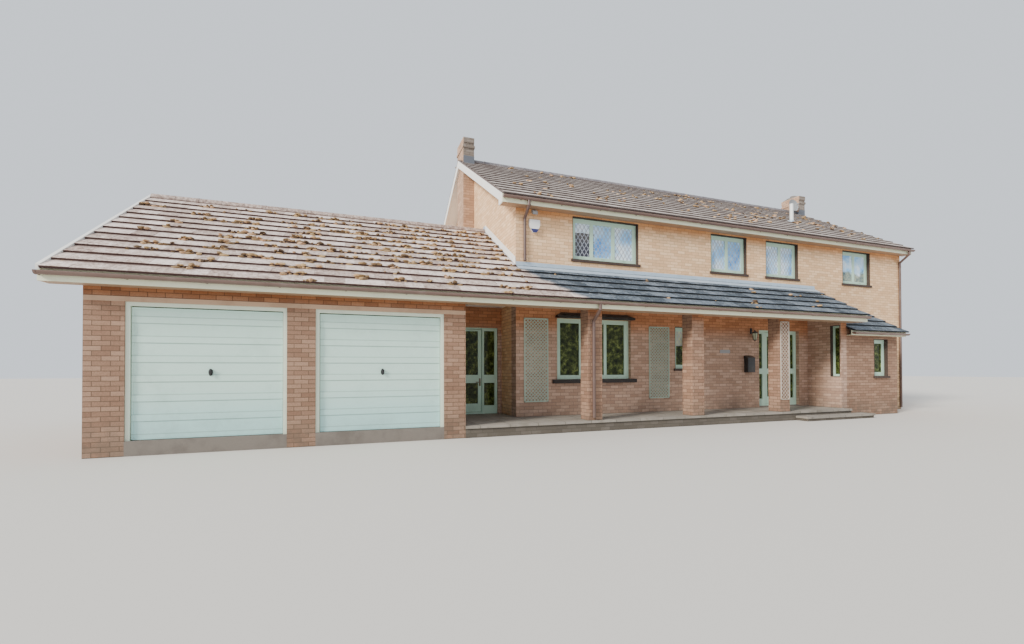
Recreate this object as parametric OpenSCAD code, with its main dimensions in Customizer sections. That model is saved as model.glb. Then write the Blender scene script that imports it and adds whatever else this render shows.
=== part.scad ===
// Detached brick house with a double garage, a link with a recessed entrance and a porch.
// Measures in millimetres. X runs along the front from the garage to the far gable,
// Y runs from the front to the back and Z is up, from the lowest ground at the walls.

/* [Levels] */
// Depth of the wall foot below the garage door sill, where the ground falls away
plinth_h = 225; // [150:25:300]
// Height of a brick course with its joint
course_h = 75; // [65:5:80]
// Underside of the low eaves above the door sill
low_soffit_h = 2310; // [2250:10:2400]
// Underside of the high eaves above the door sill
high_soffit_h = 4718; // [4680:2:4900]
// Underside of the side room's eaves above the door sill
side_soffit_h = 1985; // [1930:5:2050]
// Ceiling of the porch above the door sill
ceiling_h = 2575; // [2500:5:2600]
// Top of the upper floor above the door sill
upper_floor_h = 2825; // [2750:25:2900]
// Thickness of the upper floor
upper_floor_t = 240; // [200:10:260]

/* [Garage] */
// Outer depth of the garage and link
garage_d = 7320; // [7000:20:7600]
// Thickness of the garage walls
garage_wall_t = 215; // [200:5:230]
// Brickwork left of the first garage door
left_pier_w = 500; // [400:10:560]
// Brickwork between the garage doors
mid_pier_w = 440; // [400:10:480]
// Brickwork right of the second garage door
right_pier_w = 410; // [390:10:450]
// Width of each garage door opening
garage_door_w = 2200; // [2100:10:2230]
// Height of each garage door opening
garage_door_h = 2100; // [1950:10:2150]
// Height of the concrete lintels
lintel_h = 75; // [65:5:90]

/* [Link] */
// Length of the link between the garage and the house
link_l = 1470; // [1440:5:1600]
// Distance of the link's front wall behind the garage front
link_setback = 2200; // [2000:20:2400]
// Width of the link door opening
link_door_w = 1175; // [1100:5:1200]
// Brickwork left of the link door
link_reveal_w = 195; // [150:5:240]
// Height of the link door opening
link_door_h = 2080; // [2000:5:2150]

/* [House] */
// Outer length of the two storey block
house_l = 13305; // [13000:5:13600]
// Outer depth of the two storey block
house_d = 7720; // [7600:10:8000]
// Distance of its front wall behind the garage front
house_setback = 1200; // [1150:5:1250]
// Thickness of the house walls
wall_t = 300; // [270:5:330]
// Thickness of the ground floor above the door sill
floor_rise = 75; // [50:5:100]

/* [Roofs] */
// Pitch of every slope in degrees
roof_pitch = 31; // [30:0.25:32]
// Reach of the eaves beyond the walls
eaves_over = 250; // [230:5:280]
// Reach of the verges beyond the gables on the left
verge_over = 400; // [380:5:420]
// Reach of the right verge of the high roof
right_verge_over = 150; // [120:5:200]
// Reach of the tiles over the gutter
tile_over = 45; // [35:1:50]
// Visible length of a tile, from one course to the next
tile_gauge = 350; // [330:1:370]
// Roof covering under a tile's head
tile_head_t = 20; // [15:1:30]
// Step of a tile over the course below
tile_step = 26; // [18:1:32]
// Width of the white cap along the garage's left verge
cap_w = 48; // [40:1:60]
// Upstand of the lead against the wall over the porch roof
lead_up_h = 90; // [75:5:110]
// Reach of the lead over the porch tiles
lead_lap = 180; // [150:10:200]
// Depth of the fascia boards
fascia_h = 180; // [160:5:200]
// Depth of the side room's fascia board
side_fascia_h = 130; // [110:5:150]
// Thickness of fascia and barge boards
board_t = 22; // [18:1:28]
// Thickness of soffit and ceiling boards
soffit_t = 12; // [9:1:18]
// Depth of the barge boards
barge_h = 210; // [180:5:230]
// Outer radius of a ridge tile
ridge_r = 130; // [115:1:140]
// Thickness of a ridge tile
ridge_t = 16; // [12:1:22]
// Length of a ridge tile
ridge_l = 450; // [400:5:500]
// Bedding gap between a roof covering and the walls and boards under it
bed_gap = 0.2; // [0.2:0.1:2]

/* [Rainwater goods] */
// Outer radius of the half-round gutters
gutter_r = 56; // [50:1:60]
// Wall of the gutters
gutter_t = 4; // [3:0.5:6]
// Drop of the gutter rim below the top of the fascia
gutter_drop = 48; // [44:1:60]
// Spacing of the gutter brackets
bracket_gap = 1000; // [800:10:1200]
// Outer radius of the downpipes
pipe_r = 34; // [30:1:40]
// Wall of the downpipes
pipe_t = 3; // [2.5:0.5:5]

/* [Chimneys] */
// Width of each chimney stack, from front to back
chimney_w = 740; // [700:5:780]
// Reach of each chimney stack beyond its gable
chimney_d = 330; // [315:5:350]
// Height of the stacks above the upper tile line of the ridge
chimney_rise = 540; // [480:5:600]
// Reach of the oversailing brick band
band_over = 25; // [15:1:35]
// Height of a chimney pot
pot_h = 120; // [110:10:200]
// Outer radius of a chimney pot
pot_r = 110; // [100:1:130]

/* [Upper windows] */
// Height of the upper window sills above the door sill
upper_sill_h = 3655; // [3640:5:3700]
// Height of the upper window openings
upper_win_h = 1030; // [980:5:1040]
// Width of the wide upper window
wide_win_w = 1840; // [1780:5:1900]
// Width of the other upper windows
upper_win_w = 1252; // [1200:4:1300]
// Distance of the wide window from the left gable
win_1_x = 1430; // [1300:5:1550]
// Distance of the second window from the left gable
win_2_x = 5555; // [5450:5:5650]
// Distance of the third window from the left gable
win_3_x = 7510; // [7430:5:7600]
// Distance of the fourth window from the left gable
win_4_x = 10620; // [10500:5:10750]

/* [Window parts] */
// Thickness of the brown lining of a window opening
lining_t = 15; // [12:1:20]
// Depth of the lining
lining_d = 165; // [155:5:180]
// Setback of the casements behind the wall face
sash_setback = 95; // [80:5:105]
// Depth of the door frames and of the frame under the porch
frame_d = 70; // [60:1:80]
// Face width of a casement with its frame
sash_w = 105; // [90:1:115]
// Face width of the bar between two lights
bar_w = 95; // [80:1:105]
// Depth of a casement
sash_d = 45; // [40:1:50]
// Thickness of the glass
glass_t = 14; // [6:1:20]
// Height of the timber sills
sill_h = 45; // [35:1:60]
// Reach of the timber sills beyond the wall face
sill_over = 35; // [25:1:50]

/* [Ground floor openings] */
// Distance of the window under the porch from the left gable
lower_win_x = 1020; // [980:5:1060]
// Width of the window under the porch
lower_win_w = 2008; // [1960:4:2060]
// Height of its sill above the door sill
lower_sill_h = 836; // [800:4:860]
// Height of the window
lower_win_h = 1432; // [1400:4:1440]
// Setback of its frame behind the wall face
lower_setback = 100; // [80:5:130]
// Face width of its frame
lower_frame_w = 125; // [100:5:140]
// Height of the hood over it
hood_h = 130; // [110:5:150]
// Reach of the hood in front of the wall
hood_d = 150; // [120:5:180]
// Distance of the hall window from the left gable
hall_win_x = 4365; // [4320:5:4420]
// Width of the hall window
hall_win_w = 440; // [420:5:480]
// Height of the hall window's sill above the door sill
hall_sill_h = 1070; // [1020:5:1100]
// Height of the hall window
hall_win_h = 1090; // [1050:5:1120]
// Distance of the front entrance from the left gable
entrance_x = 7230; // [7180:5:7260]
// Width of the entrance
entrance_w = 1535; // [1500:5:1600]
// Height of the entrance above the door sill
entrance_h = 2160; // [2120:5:2190]
// Width of the front door leaf
front_door_w = 845; // [800:5:860]

/* [Side room] */
// Distance of the side room's left face from the left gable
side_x = 9120; // [9100:5:9160]
// Length of the side room along the front
side_l = 2340; // [2300:5:2400]
// Distance of its front wall behind the garage front
side_setback = 240; // [240:5:300]
// Distance of its window from its left face
side_win_x = 1340; // [1300:5:1380]
// Width of its window
side_win_w = 600; // [560:5:640]
// Height of its window sills above the door sill
side_sill_h = 850; // [800:5:880]
// Reach of its eaves and verge
side_over = 150; // [130:5:170]

/* [Porch] */
// Width and depth of the brick piers
pier_w = 330; // [300:5:350]
// Distance of the first pier from the left gable
pier_x = 1160; // [1100:5:1200]
// Spacing of the piers
pier_gap = 2700; // [2600:10:2750]
// Height of the piers' tops above the door sill
pier_top_h = 2380; // [2360:5:2400]
// Thickness of the beam on the piers
beam_t = 150; // [120:5:180]
// Distance of the porch verge from the left gable
porch_verge_x = 9420; // [9400:5:9450]
// Reach of the lower step in front of the porch
step_d = 310; // [290:5:320]
// Thickness of the paving
paving_t = 50; // [40:5:60]

/* [Garage door gear] */
// Clearance round the door leaves
leaf_gap = 8; // [6:1:10]
// Face width of the garage door frames
door_frame_w = 60; // [50:1:70]
// Depth of the garage door frames
door_frame_d = 70; // [60:1:75]
// Setback of the garage door frames behind the wall face
door_frame_setback = 25; // [15:1:30]
// Thickness of a garage door leaf
leaf_t = 36; // [34:1:40]
// Spacing of the raised bands across a garage door
band_gap = 300; // [280:5:320]
// Height of a raised band
band_h = 104; // [90:1:120]
// Distance of the lifting bar behind the face of the leaf
bar_back = 70; // [66:1:74]
// Radius of the lifting bar
bar_r = 10; // [8:0.5:12]
// Radius of the rollers
roller_r = 20; // [18:0.5:22]
// Travel of the rollers along the tracks
bar_travel = 1350; // [1250:10:1400]

/* [Hidden] */
$fn = 48;

sill_z = plinth_h;
low_soffit_z = sill_z + low_soffit_h;
high_soffit_z = sill_z + high_soffit_h;
side_soffit_z = sill_z + side_soffit_h;
ceiling_z = sill_z + ceiling_h;
floor_z = sill_z + floor_rise;
threshold_z = floor_z - 40;
upper_floor_z = sill_z + upper_floor_h;
upper_sill_z = sill_z + upper_sill_h;
slope = tan(roof_pitch);

garage_l = left_pier_w + 2 * garage_door_w + mid_pier_w + right_pier_w;
house_x = garage_l + link_l;
house_x1 = house_x + house_l;
house_y1 = house_setback + house_d;
garage_ridge_y = garage_d / 2;
house_ridge_y = house_setback + house_d / 2;
garage_head_z = sill_z + garage_door_h;
door_1_x = left_pier_w;
door_2_x = left_pier_w + garage_door_w + mid_pier_w;
garage_door_xs = [door_1_x, door_2_x];
porch_x1 = house_x + porch_verge_x;
side_x0 = house_x + side_x;
side_x1 = side_x0 + side_l;
side_verge_x = side_x1 + side_over;
split_z = ceiling_z;

// The whole part is centred over its bounding box
mid_x = (house_x1 + chimney_d - verge_over) / 2;
mid_y = house_y1 / 2;

brick = [0.73, 0.55, 0.45];
brick_pale = [0.80, 0.66, 0.53];
concrete = [0.70, 0.68, 0.64];
tile_warm = [0.55, 0.47, 0.43];
tile_dark = [0.35, 0.37, 0.42];
cream = [0.84, 0.84, 0.74];
white = [0.93, 0.93, 0.91];
mint = [0.76, 0.85, 0.80];
door_mint = [0.77, 0.88, 0.86];
brown = [0.29, 0.20, 0.16];
dark_timber = [0.22, 0.17, 0.14];
lead = [0.52, 0.57, 0.62];
glass_tone = [0.55, 0.66, 0.70, 0.5];
steel = [0.62, 0.63, 0.65];

// Moves the drawing so that the middle of its footprint is the origin
module place() translate([-mid_x, -mid_y, 0]) children();

// Box between two corners given as ranges
module block(x, y, z) {
  translate([x[0], y[0], z[0]]) cube([x[1] - x[0], y[1] - y[0], z[1] - z[0]]);
}

// Outline in Y and Z drawn out along X
module along_x(x0, x1) {
  translate([x0, 0, 0]) rotate([90, 0, 90]) linear_extrude(x1 - x0) children();
}

// Turns an outline about the line x = 0 where it stands at a rear face
module facing(dir) {
  if (dir > 0) children();
  else mirror([1, 0]) children();
}

// Height of each roof's underside at y
function low_under_z(y) =
  low_soffit_z + fascia_h + (eaves_over + min(y, garage_d - y)) * slope;
function high_under_z(y) = high_soffit_z + fascia_h
  + (eaves_over + min(y - house_setback, house_y1 - y)) * slope;
function side_under_z(y) = side_soffit_z + side_fascia_h + (side_over + y - side_setback) * slope;

function up_slope(s, h) = [s * cos(roof_pitch) - h * sin(roof_pitch),
  s * sin(roof_pitch) + h * cos(roof_pitch)];
// Distance up the slope at which the surface of course i reaches a horizontal run
function run_end(run, h) = (run + h * sin(roof_pitch)) / cos(roof_pitch);

// Stepped tile courses on a horizontal run, from the tiles' tail at the origin; over the
// gutter only the tiles themselves reach out
module tile_courses(run) {
  seat_s = tile_over / cos(roof_pitch);
  top_s = run_end(run, tile_head_t);
  n = ceil(top_s / tile_gauge);
  last_s = (n - 1) * tile_gauge;
  rise = tile_step / tile_gauge;
  // Surface of the last course cut off at the end of the run
  end_s = (run + sin(roof_pitch) * (tile_head_t + tile_step + rise * last_s))
    / (cos(roof_pitch) + sin(roof_pitch) * rise);
  end_t = tile_head_t + tile_step - rise * (end_s - last_s);
  steps = [for (i = [0:n - 2], k = [0, 1])
    up_slope((i + k) * tile_gauge, tile_head_t + (k == 0 ? tile_step : 0))];
  polygon(concat([up_slope(0, tile_head_t)], steps,
    [up_slope(last_s, tile_head_t + tile_step), up_slope(end_s, end_t)],
    [up_slope(run_end(run, 0), 0), up_slope(seat_s, 0), up_slope(seat_s, tile_head_t)]));
}

// Profile of a roof slope in Y and Z; dir is 1 for a front slope and -1 for a rear one
module slope_profile(wall_y, fascia_z, over, run, dir) {
  tail_y = over + tile_over;
  translate([wall_y - dir * tail_y, fascia_z - tile_over * slope + bed_gap])
    facing(dir) tile_courses(run + tail_y);
}

module low_front_profile(run) slope_profile(0, low_soffit_z + fascia_h, eaves_over, run, 1);
module low_rear_profile()
  slope_profile(garage_d, low_soffit_z + fascia_h, eaves_over, garage_ridge_y, -1);
module high_front_profile()
  slope_profile(house_setback, high_soffit_z + fascia_h, eaves_over, house_d / 2, 1);
module high_rear_profile()
  slope_profile(house_y1, high_soffit_z + fascia_h, eaves_over, house_d / 2, -1);

// Room that the two chimney stacks take up in roofs, boards and floor
module chimney_shafts() {
  for (x = [house_x - chimney_d, house_x1])
    block([x, x + chimney_d],
      [house_ridge_y - chimney_w / 2, house_ridge_y + chimney_w / 2], [-1, stack_top_z]);
}

// The garage tiles start beside the verge cap
garage_tiles_x = cap_w + 0.5 - verge_over;
module garage_roof_front()
  color(tile_warm) place() along_x(garage_tiles_x, house_x) low_front_profile(garage_ridge_y);

module garage_roof_rear()
  color(tile_warm) place() difference() {
    along_x(garage_tiles_x, house_x) low_rear_profile();
    chimney_shafts();
  }

module porch_roof()
  color(tile_dark) place() along_x(house_x, porch_x1) low_front_profile(house_setback);

module main_roof_front()
  color(tile_warm) place() difference() {
    along_x(house_x - verge_over, house_x1 + right_verge_over) high_front_profile();
    chimney_shafts();
  }

module main_roof_rear()
  color(tile_warm) place() difference() {
    along_x(house_x - verge_over, house_x1 + right_verge_over) high_rear_profile();
    chimney_shafts();
  }

module side_room_roof()
  color(tile_dark) place() along_x(side_x0 + garage_wall_t, side_verge_x)
    slope_profile(side_setback, side_soffit_z + side_fascia_h, side_over,
      house_setback - side_setback, 1);

// Half-round tile over an apex at height z, seated on the two slopes
module ridge_profile(y, z, r) {
  difference() {
    translate([y, z - r * 0.45]) difference() {
      circle(r);
      circle(r - ridge_t);
      translate([-2 * r, -2 * r]) square([4 * r, 2 * r - r * 0.3]);
    }
    polygon([[y, z], [y + 2 * r, z - 2 * r * slope], [y - 2 * r, z - 2 * r * slope]]);
    children();
  }
}

// Row of ridge tiles, each one lapping over a collar at its end
module ridge_row(x0, x1, y, z) {
  n = max(1, round((x1 - x0) / ridge_l));
  step = (x1 - x0) / n;
  collar = 40;
  for (i = [0:n - 1]) {
    along_x(x0 + i * step, x0 + (i + 1) * step - collar) ridge_profile(y, z, ridge_r) children();
    along_x(x0 + (i + 1) * step - collar, x0 + (i + 1) * step)
      ridge_profile(y, z, ridge_r + 6) children();
  }
}

low_apex_z = low_under_z(garage_ridge_y) + tile_head_t / cos(roof_pitch);
high_apex_z = high_under_z(house_ridge_y) + tile_head_t / cos(roof_pitch);

module ridge_tiles() color(tile_warm) place() {
  ridge_row(garage_tiles_x + 0.5, house_x, garage_ridge_y, low_apex_z) {
    low_front_profile(garage_ridge_y);
    low_rear_profile();
  }
  ridge_row(house_x, house_x1, house_ridge_y, high_apex_z) {
    high_front_profile();
    high_rear_profile();
  }
}

// Vertical fascia with a top cut to the slope, and the soffit board behind it, which stops
// against the box ends at the verges; ends holds 1 at each end that has a verge
module eaves_run(x0, x1, wall_y, soffit_z, height, over, dir, ends = [1, 1]) {
  along_x(x0, x1) translate([wall_y, soffit_z]) facing(dir)
    polygon([[-over, 0], [board_t - over, 0], [board_t - over, height + board_t * slope],
      [-over, height]]);
  along_x(x0 + ends[0] * board_t, x1 - ends[1] * board_t) translate([wall_y, soffit_z])
    facing(dir) translate([board_t - over, 0]) square([over - board_t, soffit_t]);
}

module eaves_boards() color(cream) place() {
  eaves_run(-verge_over, porch_x1, 0, low_soffit_z, fascia_h, eaves_over, 1);
  eaves_run(-verge_over, house_x, garage_d, low_soffit_z, fascia_h, eaves_over, -1, [1, 0]);
  for (side = [[house_setback, 1], [house_y1, -1]])
    eaves_run(house_x - verge_over, house_x1 + right_verge_over, side[0], high_soffit_z,
      fascia_h, eaves_over, side[1]);
  eaves_run(side_x0 + garage_wall_t, side_verge_x, side_setback, side_soffit_z, side_fascia_h,
    side_over, 1, [0, 1]);
  // Strip that carries the porch soffit back to the beam between the piers
  difference() {
    block([garage_l, side_x0 + garage_wall_t], [0, beam_y0],
      [low_soffit_z, low_soffit_z + soffit_t]);
    for (x = pier_xs) block([x, x + pier_w], [-1, pier_w], [sill_z, pier_top_z]);
  }
}

// Barge board under the verge tiles, its foot widened into the end of the eaves box
module barge_profile(wall_y, top_z, over, run, dir, height, box_h) {
  translate([wall_y, top_z]) facing(dir)
    polygon([[board_t - over, board_t * slope], [run, (over + run) * slope],
      [run, (over + run) * slope - height], [soffit_t, (over + soffit_t) * slope - height],
      [soffit_t, -box_h], [board_t - over, -box_h]]);
}

// Sloping board that closes the verge behind it, turned down to the eaves box
module verge_soffit_profile(wall_y, top_z, over, run, dir, height, box_h) {
  foot_z = 4 - box_h;
  back_y = soffit_t - 2;
  // Underside on the wall line, a little above the foot of the barge board
  under_z = over * slope - height + 15;
  translate([wall_y, top_z]) facing(dir)
    polygon([[0, foot_z], [0, under_z + soffit_t], [run, under_z + run * slope + soffit_t],
      [run, under_z + run * slope], [back_y, under_z + back_y * slope], [back_y, foot_z]]);
}

// Both boards of one verge; x is the outer face and side is 1 where the wall lies to the right
module verge(x, reach, side, wall_y, top_z, over, run, dir, height = barge_h,
  box_h = fascia_h) {
  x_in = x + side * board_t;
  x_wall = x + side * reach;
  along_x(min(x, x_in), max(x, x_in))
    barge_profile(wall_y, top_z, over, run, dir, height, box_h);
  along_x(min(x_in, x_wall), max(x_in, x_wall))
    verge_soffit_profile(wall_y, top_z, over, run, dir, height, box_h);
}

low_top_z = low_soffit_z + fascia_h;
high_top_z = high_soffit_z + fascia_h;
side_top_z = side_soffit_z + side_fascia_h;

// Cap that covers the tile ends, let into the barge board behind the fascia
module cap_profile(wall_y, top_z, over, run, dir) {
  let_in = 20;
  cap_h = (tile_head_t + tile_step + 15) / cos(roof_pitch);
  translate([wall_y, top_z]) facing(dir)
    polygon([[-over - tile_over, bed_gap - tile_over * slope],
      [board_t - over, board_t * slope + bed_gap], [board_t - over, board_t * slope - let_in],
      [run, (over + run) * slope - let_in], [run, (over + run) * slope + cap_h],
      [-over - tile_over, cap_h - tile_over * slope]]);
}

module barge_boards() color(white) place() {
  along_x(-verge_over, cap_w - verge_over) {
    cap_profile(0, low_top_z, eaves_over, garage_ridge_y, 1);
    cap_profile(garage_d, low_top_z, eaves_over, garage_ridge_y, -1);
  }
  verge(-verge_over, verge_over, 1, 0, low_top_z, eaves_over, garage_ridge_y, 1);
  verge(-verge_over, verge_over, 1, garage_d, low_top_z, eaves_over, garage_ridge_y, -1);
  difference() {
    union() {
      verge(house_x - verge_over, verge_over, 1, house_setback, high_top_z, eaves_over,
        house_d / 2, 1);
      verge(house_x - verge_over, verge_over, 1, house_y1, high_top_z, eaves_over,
        house_d / 2, -1);
      verge(house_x1 + right_verge_over, right_verge_over, -1, house_setback, high_top_z,
        eaves_over, house_d / 2, 1);
      verge(house_x1 + right_verge_over, right_verge_over, -1, house_y1, high_top_z,
        eaves_over, house_d / 2, -1);
    }
    chimney_shafts();
  }
  verge(porch_x1, porch_x1 - side_x0 - garage_wall_t, -1, 0, low_top_z, eaves_over,
    house_setback, 1);
  verge(side_verge_x, side_over, -1, side_setback, side_top_z, side_over,
    house_setback - side_setback, 1, side_fascia_h, side_fascia_h);
}

// Lower half of a disc whose rim touches the fascia at the origin
module half_disc(r) {
  intersection() {
    translate([-gutter_r, 0]) circle(r);
    translate([-3 * gutter_r, -2 * gutter_r]) square([3 * gutter_r, 2 * gutter_r]);
  }
}

// Half-round channel with stop ends, held by brackets on the fascia
module gutter(x0, x1, face_y, rim_z, dir) {
  bracket_w = 25;
  bracket_t = 3;
  n = floor((x1 - x0 - bracket_w) / bracket_gap);
  first = (x1 - x0 - bracket_w - n * bracket_gap) / 2;
  module section(a, b) along_x(a, b) translate([face_y, rim_z]) facing(dir) children();
  section(x0, x1) difference() {
    half_disc(gutter_r);
    half_disc(gutter_r - gutter_t);
  }
  section(x0, x0 + gutter_t) half_disc(gutter_r);
  section(x1 - gutter_t, x1) half_disc(gutter_r);
  for (i = [0:n])
    section(x0 + first + i * bracket_gap, x0 + first + i * bracket_gap + bracket_w) {
      difference() {
        half_disc(gutter_r + bracket_t);
        half_disc(gutter_r - gutter_t);
      }
      translate([-gutter_t, -gutter_r]) square([gutter_t, gutter_r]);
    }
}

low_rim_z = low_top_z - gutter_drop;
high_rim_z = high_top_z - gutter_drop;
side_rim_z = side_top_z - gutter_drop;

module gutters() color(brown) place() {
  gutter(-verge_over, porch_x1, -eaves_over, low_rim_z, 1);
  gutter(-verge_over, house_x, garage_d + eaves_over, low_rim_z, -1);
  gutter(house_x - verge_over, house_x1 + right_verge_over, house_setback - eaves_over,
    high_rim_z, 1);
  gutter(house_x - verge_over, house_x1 + right_verge_over, house_y1 + eaves_over,
    high_rim_z, -1);
  gutter(side_x0 + garage_wall_t, side_verge_x, side_setback - side_over, side_rim_z, 1);
}

// Round rod between two points
module pipe_leg(a, b, r) {
  d = b - a;
  length = norm(d);
  translate(a) rotate([0, acos(d[2] / length), atan2(d[1], d[0])]) cylinder(h = length, r = r);
}

// Downpipe from under the gutter, back to the wall by a swan neck and down to an open end
module downpipe(x, outlet_y, rim_z, wall_face_y, dir, foot_z) {
  socket = 4;
  stand_off = pipe_r + socket;
  pipe_y = wall_face_y - dir * stand_off;
  neck = abs(pipe_y - outlet_y);
  top_z = rim_z - gutter_r / 2;
  elbow_a = [x, outlet_y, rim_z + gutter_drop - fascia_h - 20];
  elbow_b = [x, pipe_y, elbow_a[2] - neck * 0.8];
  span = elbow_b[2] - foot_z;
  clip_h = 30;
  clips = max(1, floor(span / 1800));
  difference() {
    union() {
      pipe_leg([x, outlet_y, top_z], elbow_a, pipe_r);
      pipe_leg(elbow_a, elbow_b, pipe_r);
      pipe_leg(elbow_b, [x, pipe_y, foot_z], pipe_r);
      translate(elbow_a) sphere(pipe_r + socket);
      translate(elbow_b) sphere(pipe_r + socket);
      for (i = [0:clips]) {
        z = foot_z + 120 + i * (span - 240 - clip_h) / clips;
        translate([x, pipe_y, z]) cylinder(h = clip_h, r = pipe_r + socket);
        translate([x - 15, min(pipe_y, wall_face_y), z]) cube([30, stand_off, clip_h]);
      }
    }
    translate([x - 2 * pipe_r, outlet_y, rim_z]) rotate([0, 90, 0])
      cylinder(h = 4 * pipe_r, r = gutter_r);
    translate([x, pipe_y, foot_z - 1]) cylinder(h = 90, r = pipe_r - pipe_t);
  }
}

outlet_low_y = -eaves_over - gutter_r;
outlet_high_y = house_setback - eaves_over - gutter_r;
first_pier_x = house_x + pier_x;
pier_xs = [for (i = [0:2]) first_pier_x + i * pier_gap];

module downpipes() color(brown) place() {
  downpipe(house_x + 204, outlet_high_y, high_rim_z, house_setback, 1,
    porch_head_z + lead_up_h + 20);
  downpipe(house_x1 - 60, outlet_high_y, high_rim_z, house_setback, 1, 60);
  downpipe(pier_xs[0] + pier_w / 3, outlet_low_y, low_rim_z, 0, 1,
    sill_z + 60);
  downpipe(house_x1 - 60, house_y1 + eaves_over + gutter_r, high_rim_z,
    house_y1, -1, 60);
  downpipe(60 + pipe_r, garage_d + eaves_over + gutter_r, low_rim_z,
    garage_d, -1, 60);
}

// Lead strip dressed down the wall and over the top porch tiles, and the pale fillet
// where the garage roof meets the house gable
low_cover_t = (tile_head_t + tile_step) / cos(roof_pitch) + 2 * bed_gap;
porch_head_z = low_under_z(house_setback) + low_cover_t;
module flashings() color(lead) place() {
  sheet_t = 5;
  fillet_h = 130;
  fillet_t = 10;
  apex_z = low_under_z(garage_ridge_y) + low_cover_t;
  end_z = low_under_z(garage_d) + low_cover_t;
  along_x(house_x + sheet_t, porch_x1) polygon([
    [house_setback, porch_head_z + lead_up_h],
    [house_setback - sheet_t, porch_head_z + lead_up_h],
    [house_setback - sheet_t, porch_head_z + sheet_t],
    [house_setback - lead_lap, porch_head_z + sheet_t - lead_lap * slope],
    [house_setback - lead_lap, porch_head_z - lead_lap * slope], [house_setback, porch_head_z]]);
  difference() {
    along_x(house_x - fillet_t, house_x) difference() {
      polygon([[house_setback, porch_head_z + fillet_h], [garage_ridge_y, apex_z + fillet_h],
        [garage_d, end_z + fillet_h], [garage_d, end_z], [garage_ridge_y, apex_z],
        [house_setback, porch_head_z]]);
      translate([garage_ridge_y, low_apex_z - ridge_r * 0.45]) circle(ridge_r + 6);
    }
    chimney_shafts();
  }
}

module ground_floor() color(concrete) place() {
  block([garage_wall_t, garage_l - garage_wall_t],
    [garage_wall_t, garage_d - garage_wall_t], [0, sill_z]);
  for (x = garage_door_xs)
    block([x, x + garage_door_w], [0, garage_wall_t], [0, sill_z]);
  difference() {
    block([garage_l - garage_wall_t, house_x],
      [link_setback + wall_t, garage_d - garage_wall_t], [0, sill_z]);
    chimney_shafts();
  }
  block([link_door_x, link_door_x1], [link_setback, link_setback + wall_t], [0, sill_z]);
  block([entrance_x0, entrance_x1], [house_setback, house_setback + wall_t], [0, threshold_z]);
  block([side_x0 + wall_t, side_x1 - wall_t], [house_setback, house_setback + wall_t],
    [0, floor_z]);
  block([house_x + wall_t, house_x1 - wall_t],
    [house_setback + wall_t, house_y1 - wall_t], [0, floor_z]);
  block([side_x0 + garage_wall_t, side_x1 - garage_wall_t],
    [side_setback + garage_wall_t, house_setback], [0, floor_z]);
}

module upper_floor() color(concrete) place()
  block([house_x + wall_t, house_x1 - wall_t], [house_setback + wall_t, house_y1 - wall_t],
    [upper_floor_z - upper_floor_t, upper_floor_z]);

module garage_piers() color(brick) place() {
  block([0, left_pier_w], [0, garage_wall_t], [0, garage_head_z]);
  block([door_1_x + garage_door_w, door_2_x], [0, garage_wall_t], [0, garage_head_z]);
  block([door_2_x + garage_door_w, garage_l], [0, garage_wall_t], [0, garage_head_z]);
}

lintel_joint_x = door_1_x + garage_door_w + mid_pier_w / 2;
module garage_lintels() color(concrete) place() {
  joint = 3;
  block([0, lintel_joint_x - joint], [0, garage_wall_t],
    [garage_head_z, garage_head_z + lintel_h]);
  block([lintel_joint_x, garage_l], [0, garage_wall_t],
    [garage_head_z, garage_head_z + lintel_h]);
}

// Wall between two Y lines, from a foot up to the low roof's underside
module low_wall_profile(y0, y1, z0) {
  tops = y0 < garage_ridge_y && y1 > garage_ridge_y
    ? [[y1, low_under_z(y1)], [garage_ridge_y, low_under_z(garage_ridge_y)],
      [y0, low_under_z(y0)]]
    : [[y1, low_under_z(y1)], [y0, low_under_z(y0)]];
  polygon(concat([[y0, z0], [y1, z0]], tops));
}

module garage_wall_head() color(brick) place()
  along_x(0, garage_l) low_wall_profile(0, garage_wall_t, garage_head_z + lintel_h);

module garage_left_wall() color(brick) place()
  along_x(0, garage_wall_t) low_wall_profile(garage_wall_t, garage_d - garage_wall_t, 0);

module garage_right_wall() color(brick) place()
  along_x(garage_l - garage_wall_t, garage_l)
    low_wall_profile(garage_wall_t, link_setback + wall_t, 0);

module garage_rear_wall() color(brick) place()
  along_x(0, house_x) low_wall_profile(garage_d - garage_wall_t, garage_d, 0);

link_door_x = garage_l + link_reveal_w;
link_door_x1 = link_door_x + link_door_w;
link_door_top_z = sill_z + link_door_h;

module link_wall_jambs() color(brick) place() {
  block([garage_l, link_door_x], [link_setback, link_setback + wall_t],
    [0, link_door_top_z]);
  block([link_door_x1, house_x], [link_setback, link_setback + wall_t],
    [0, link_door_top_z]);
}

module link_wall_head() color(brick) place()
  along_x(garage_l, house_x)
    low_wall_profile(link_setback, link_setback + wall_t, link_door_top_z);

// Each window: left edge, width, foot, height, setback and casement shares
upper_lights_3 = [0.28, 0.36, 0.36];
lights_2 = [0.5, 0.5];
front_upper_windows = [
  [house_x + win_1_x, wide_win_w, upper_sill_z, upper_win_h, upper_lights_3],
  for (x = [win_2_x, win_3_x, win_4_x])
    [house_x + x, upper_win_w, upper_sill_z, upper_win_h, lights_2]];
hall_window = [house_x + hall_win_x, hall_win_w, sill_z + hall_sill_h, hall_win_h, [1]];
rear_lower_h = upper_win_h + 2 * course_h;
rear_windows = concat(front_upper_windows,
  [for (w = front_upper_windows) [w[0], w[1], sill_z + lower_sill_h, rear_lower_h, w[4]]]);
side_front_window = [side_x0 + side_win_x, side_win_w, sill_z + side_sill_h,
  side_soffit_h - side_sill_h - course_h, [1]];

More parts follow.
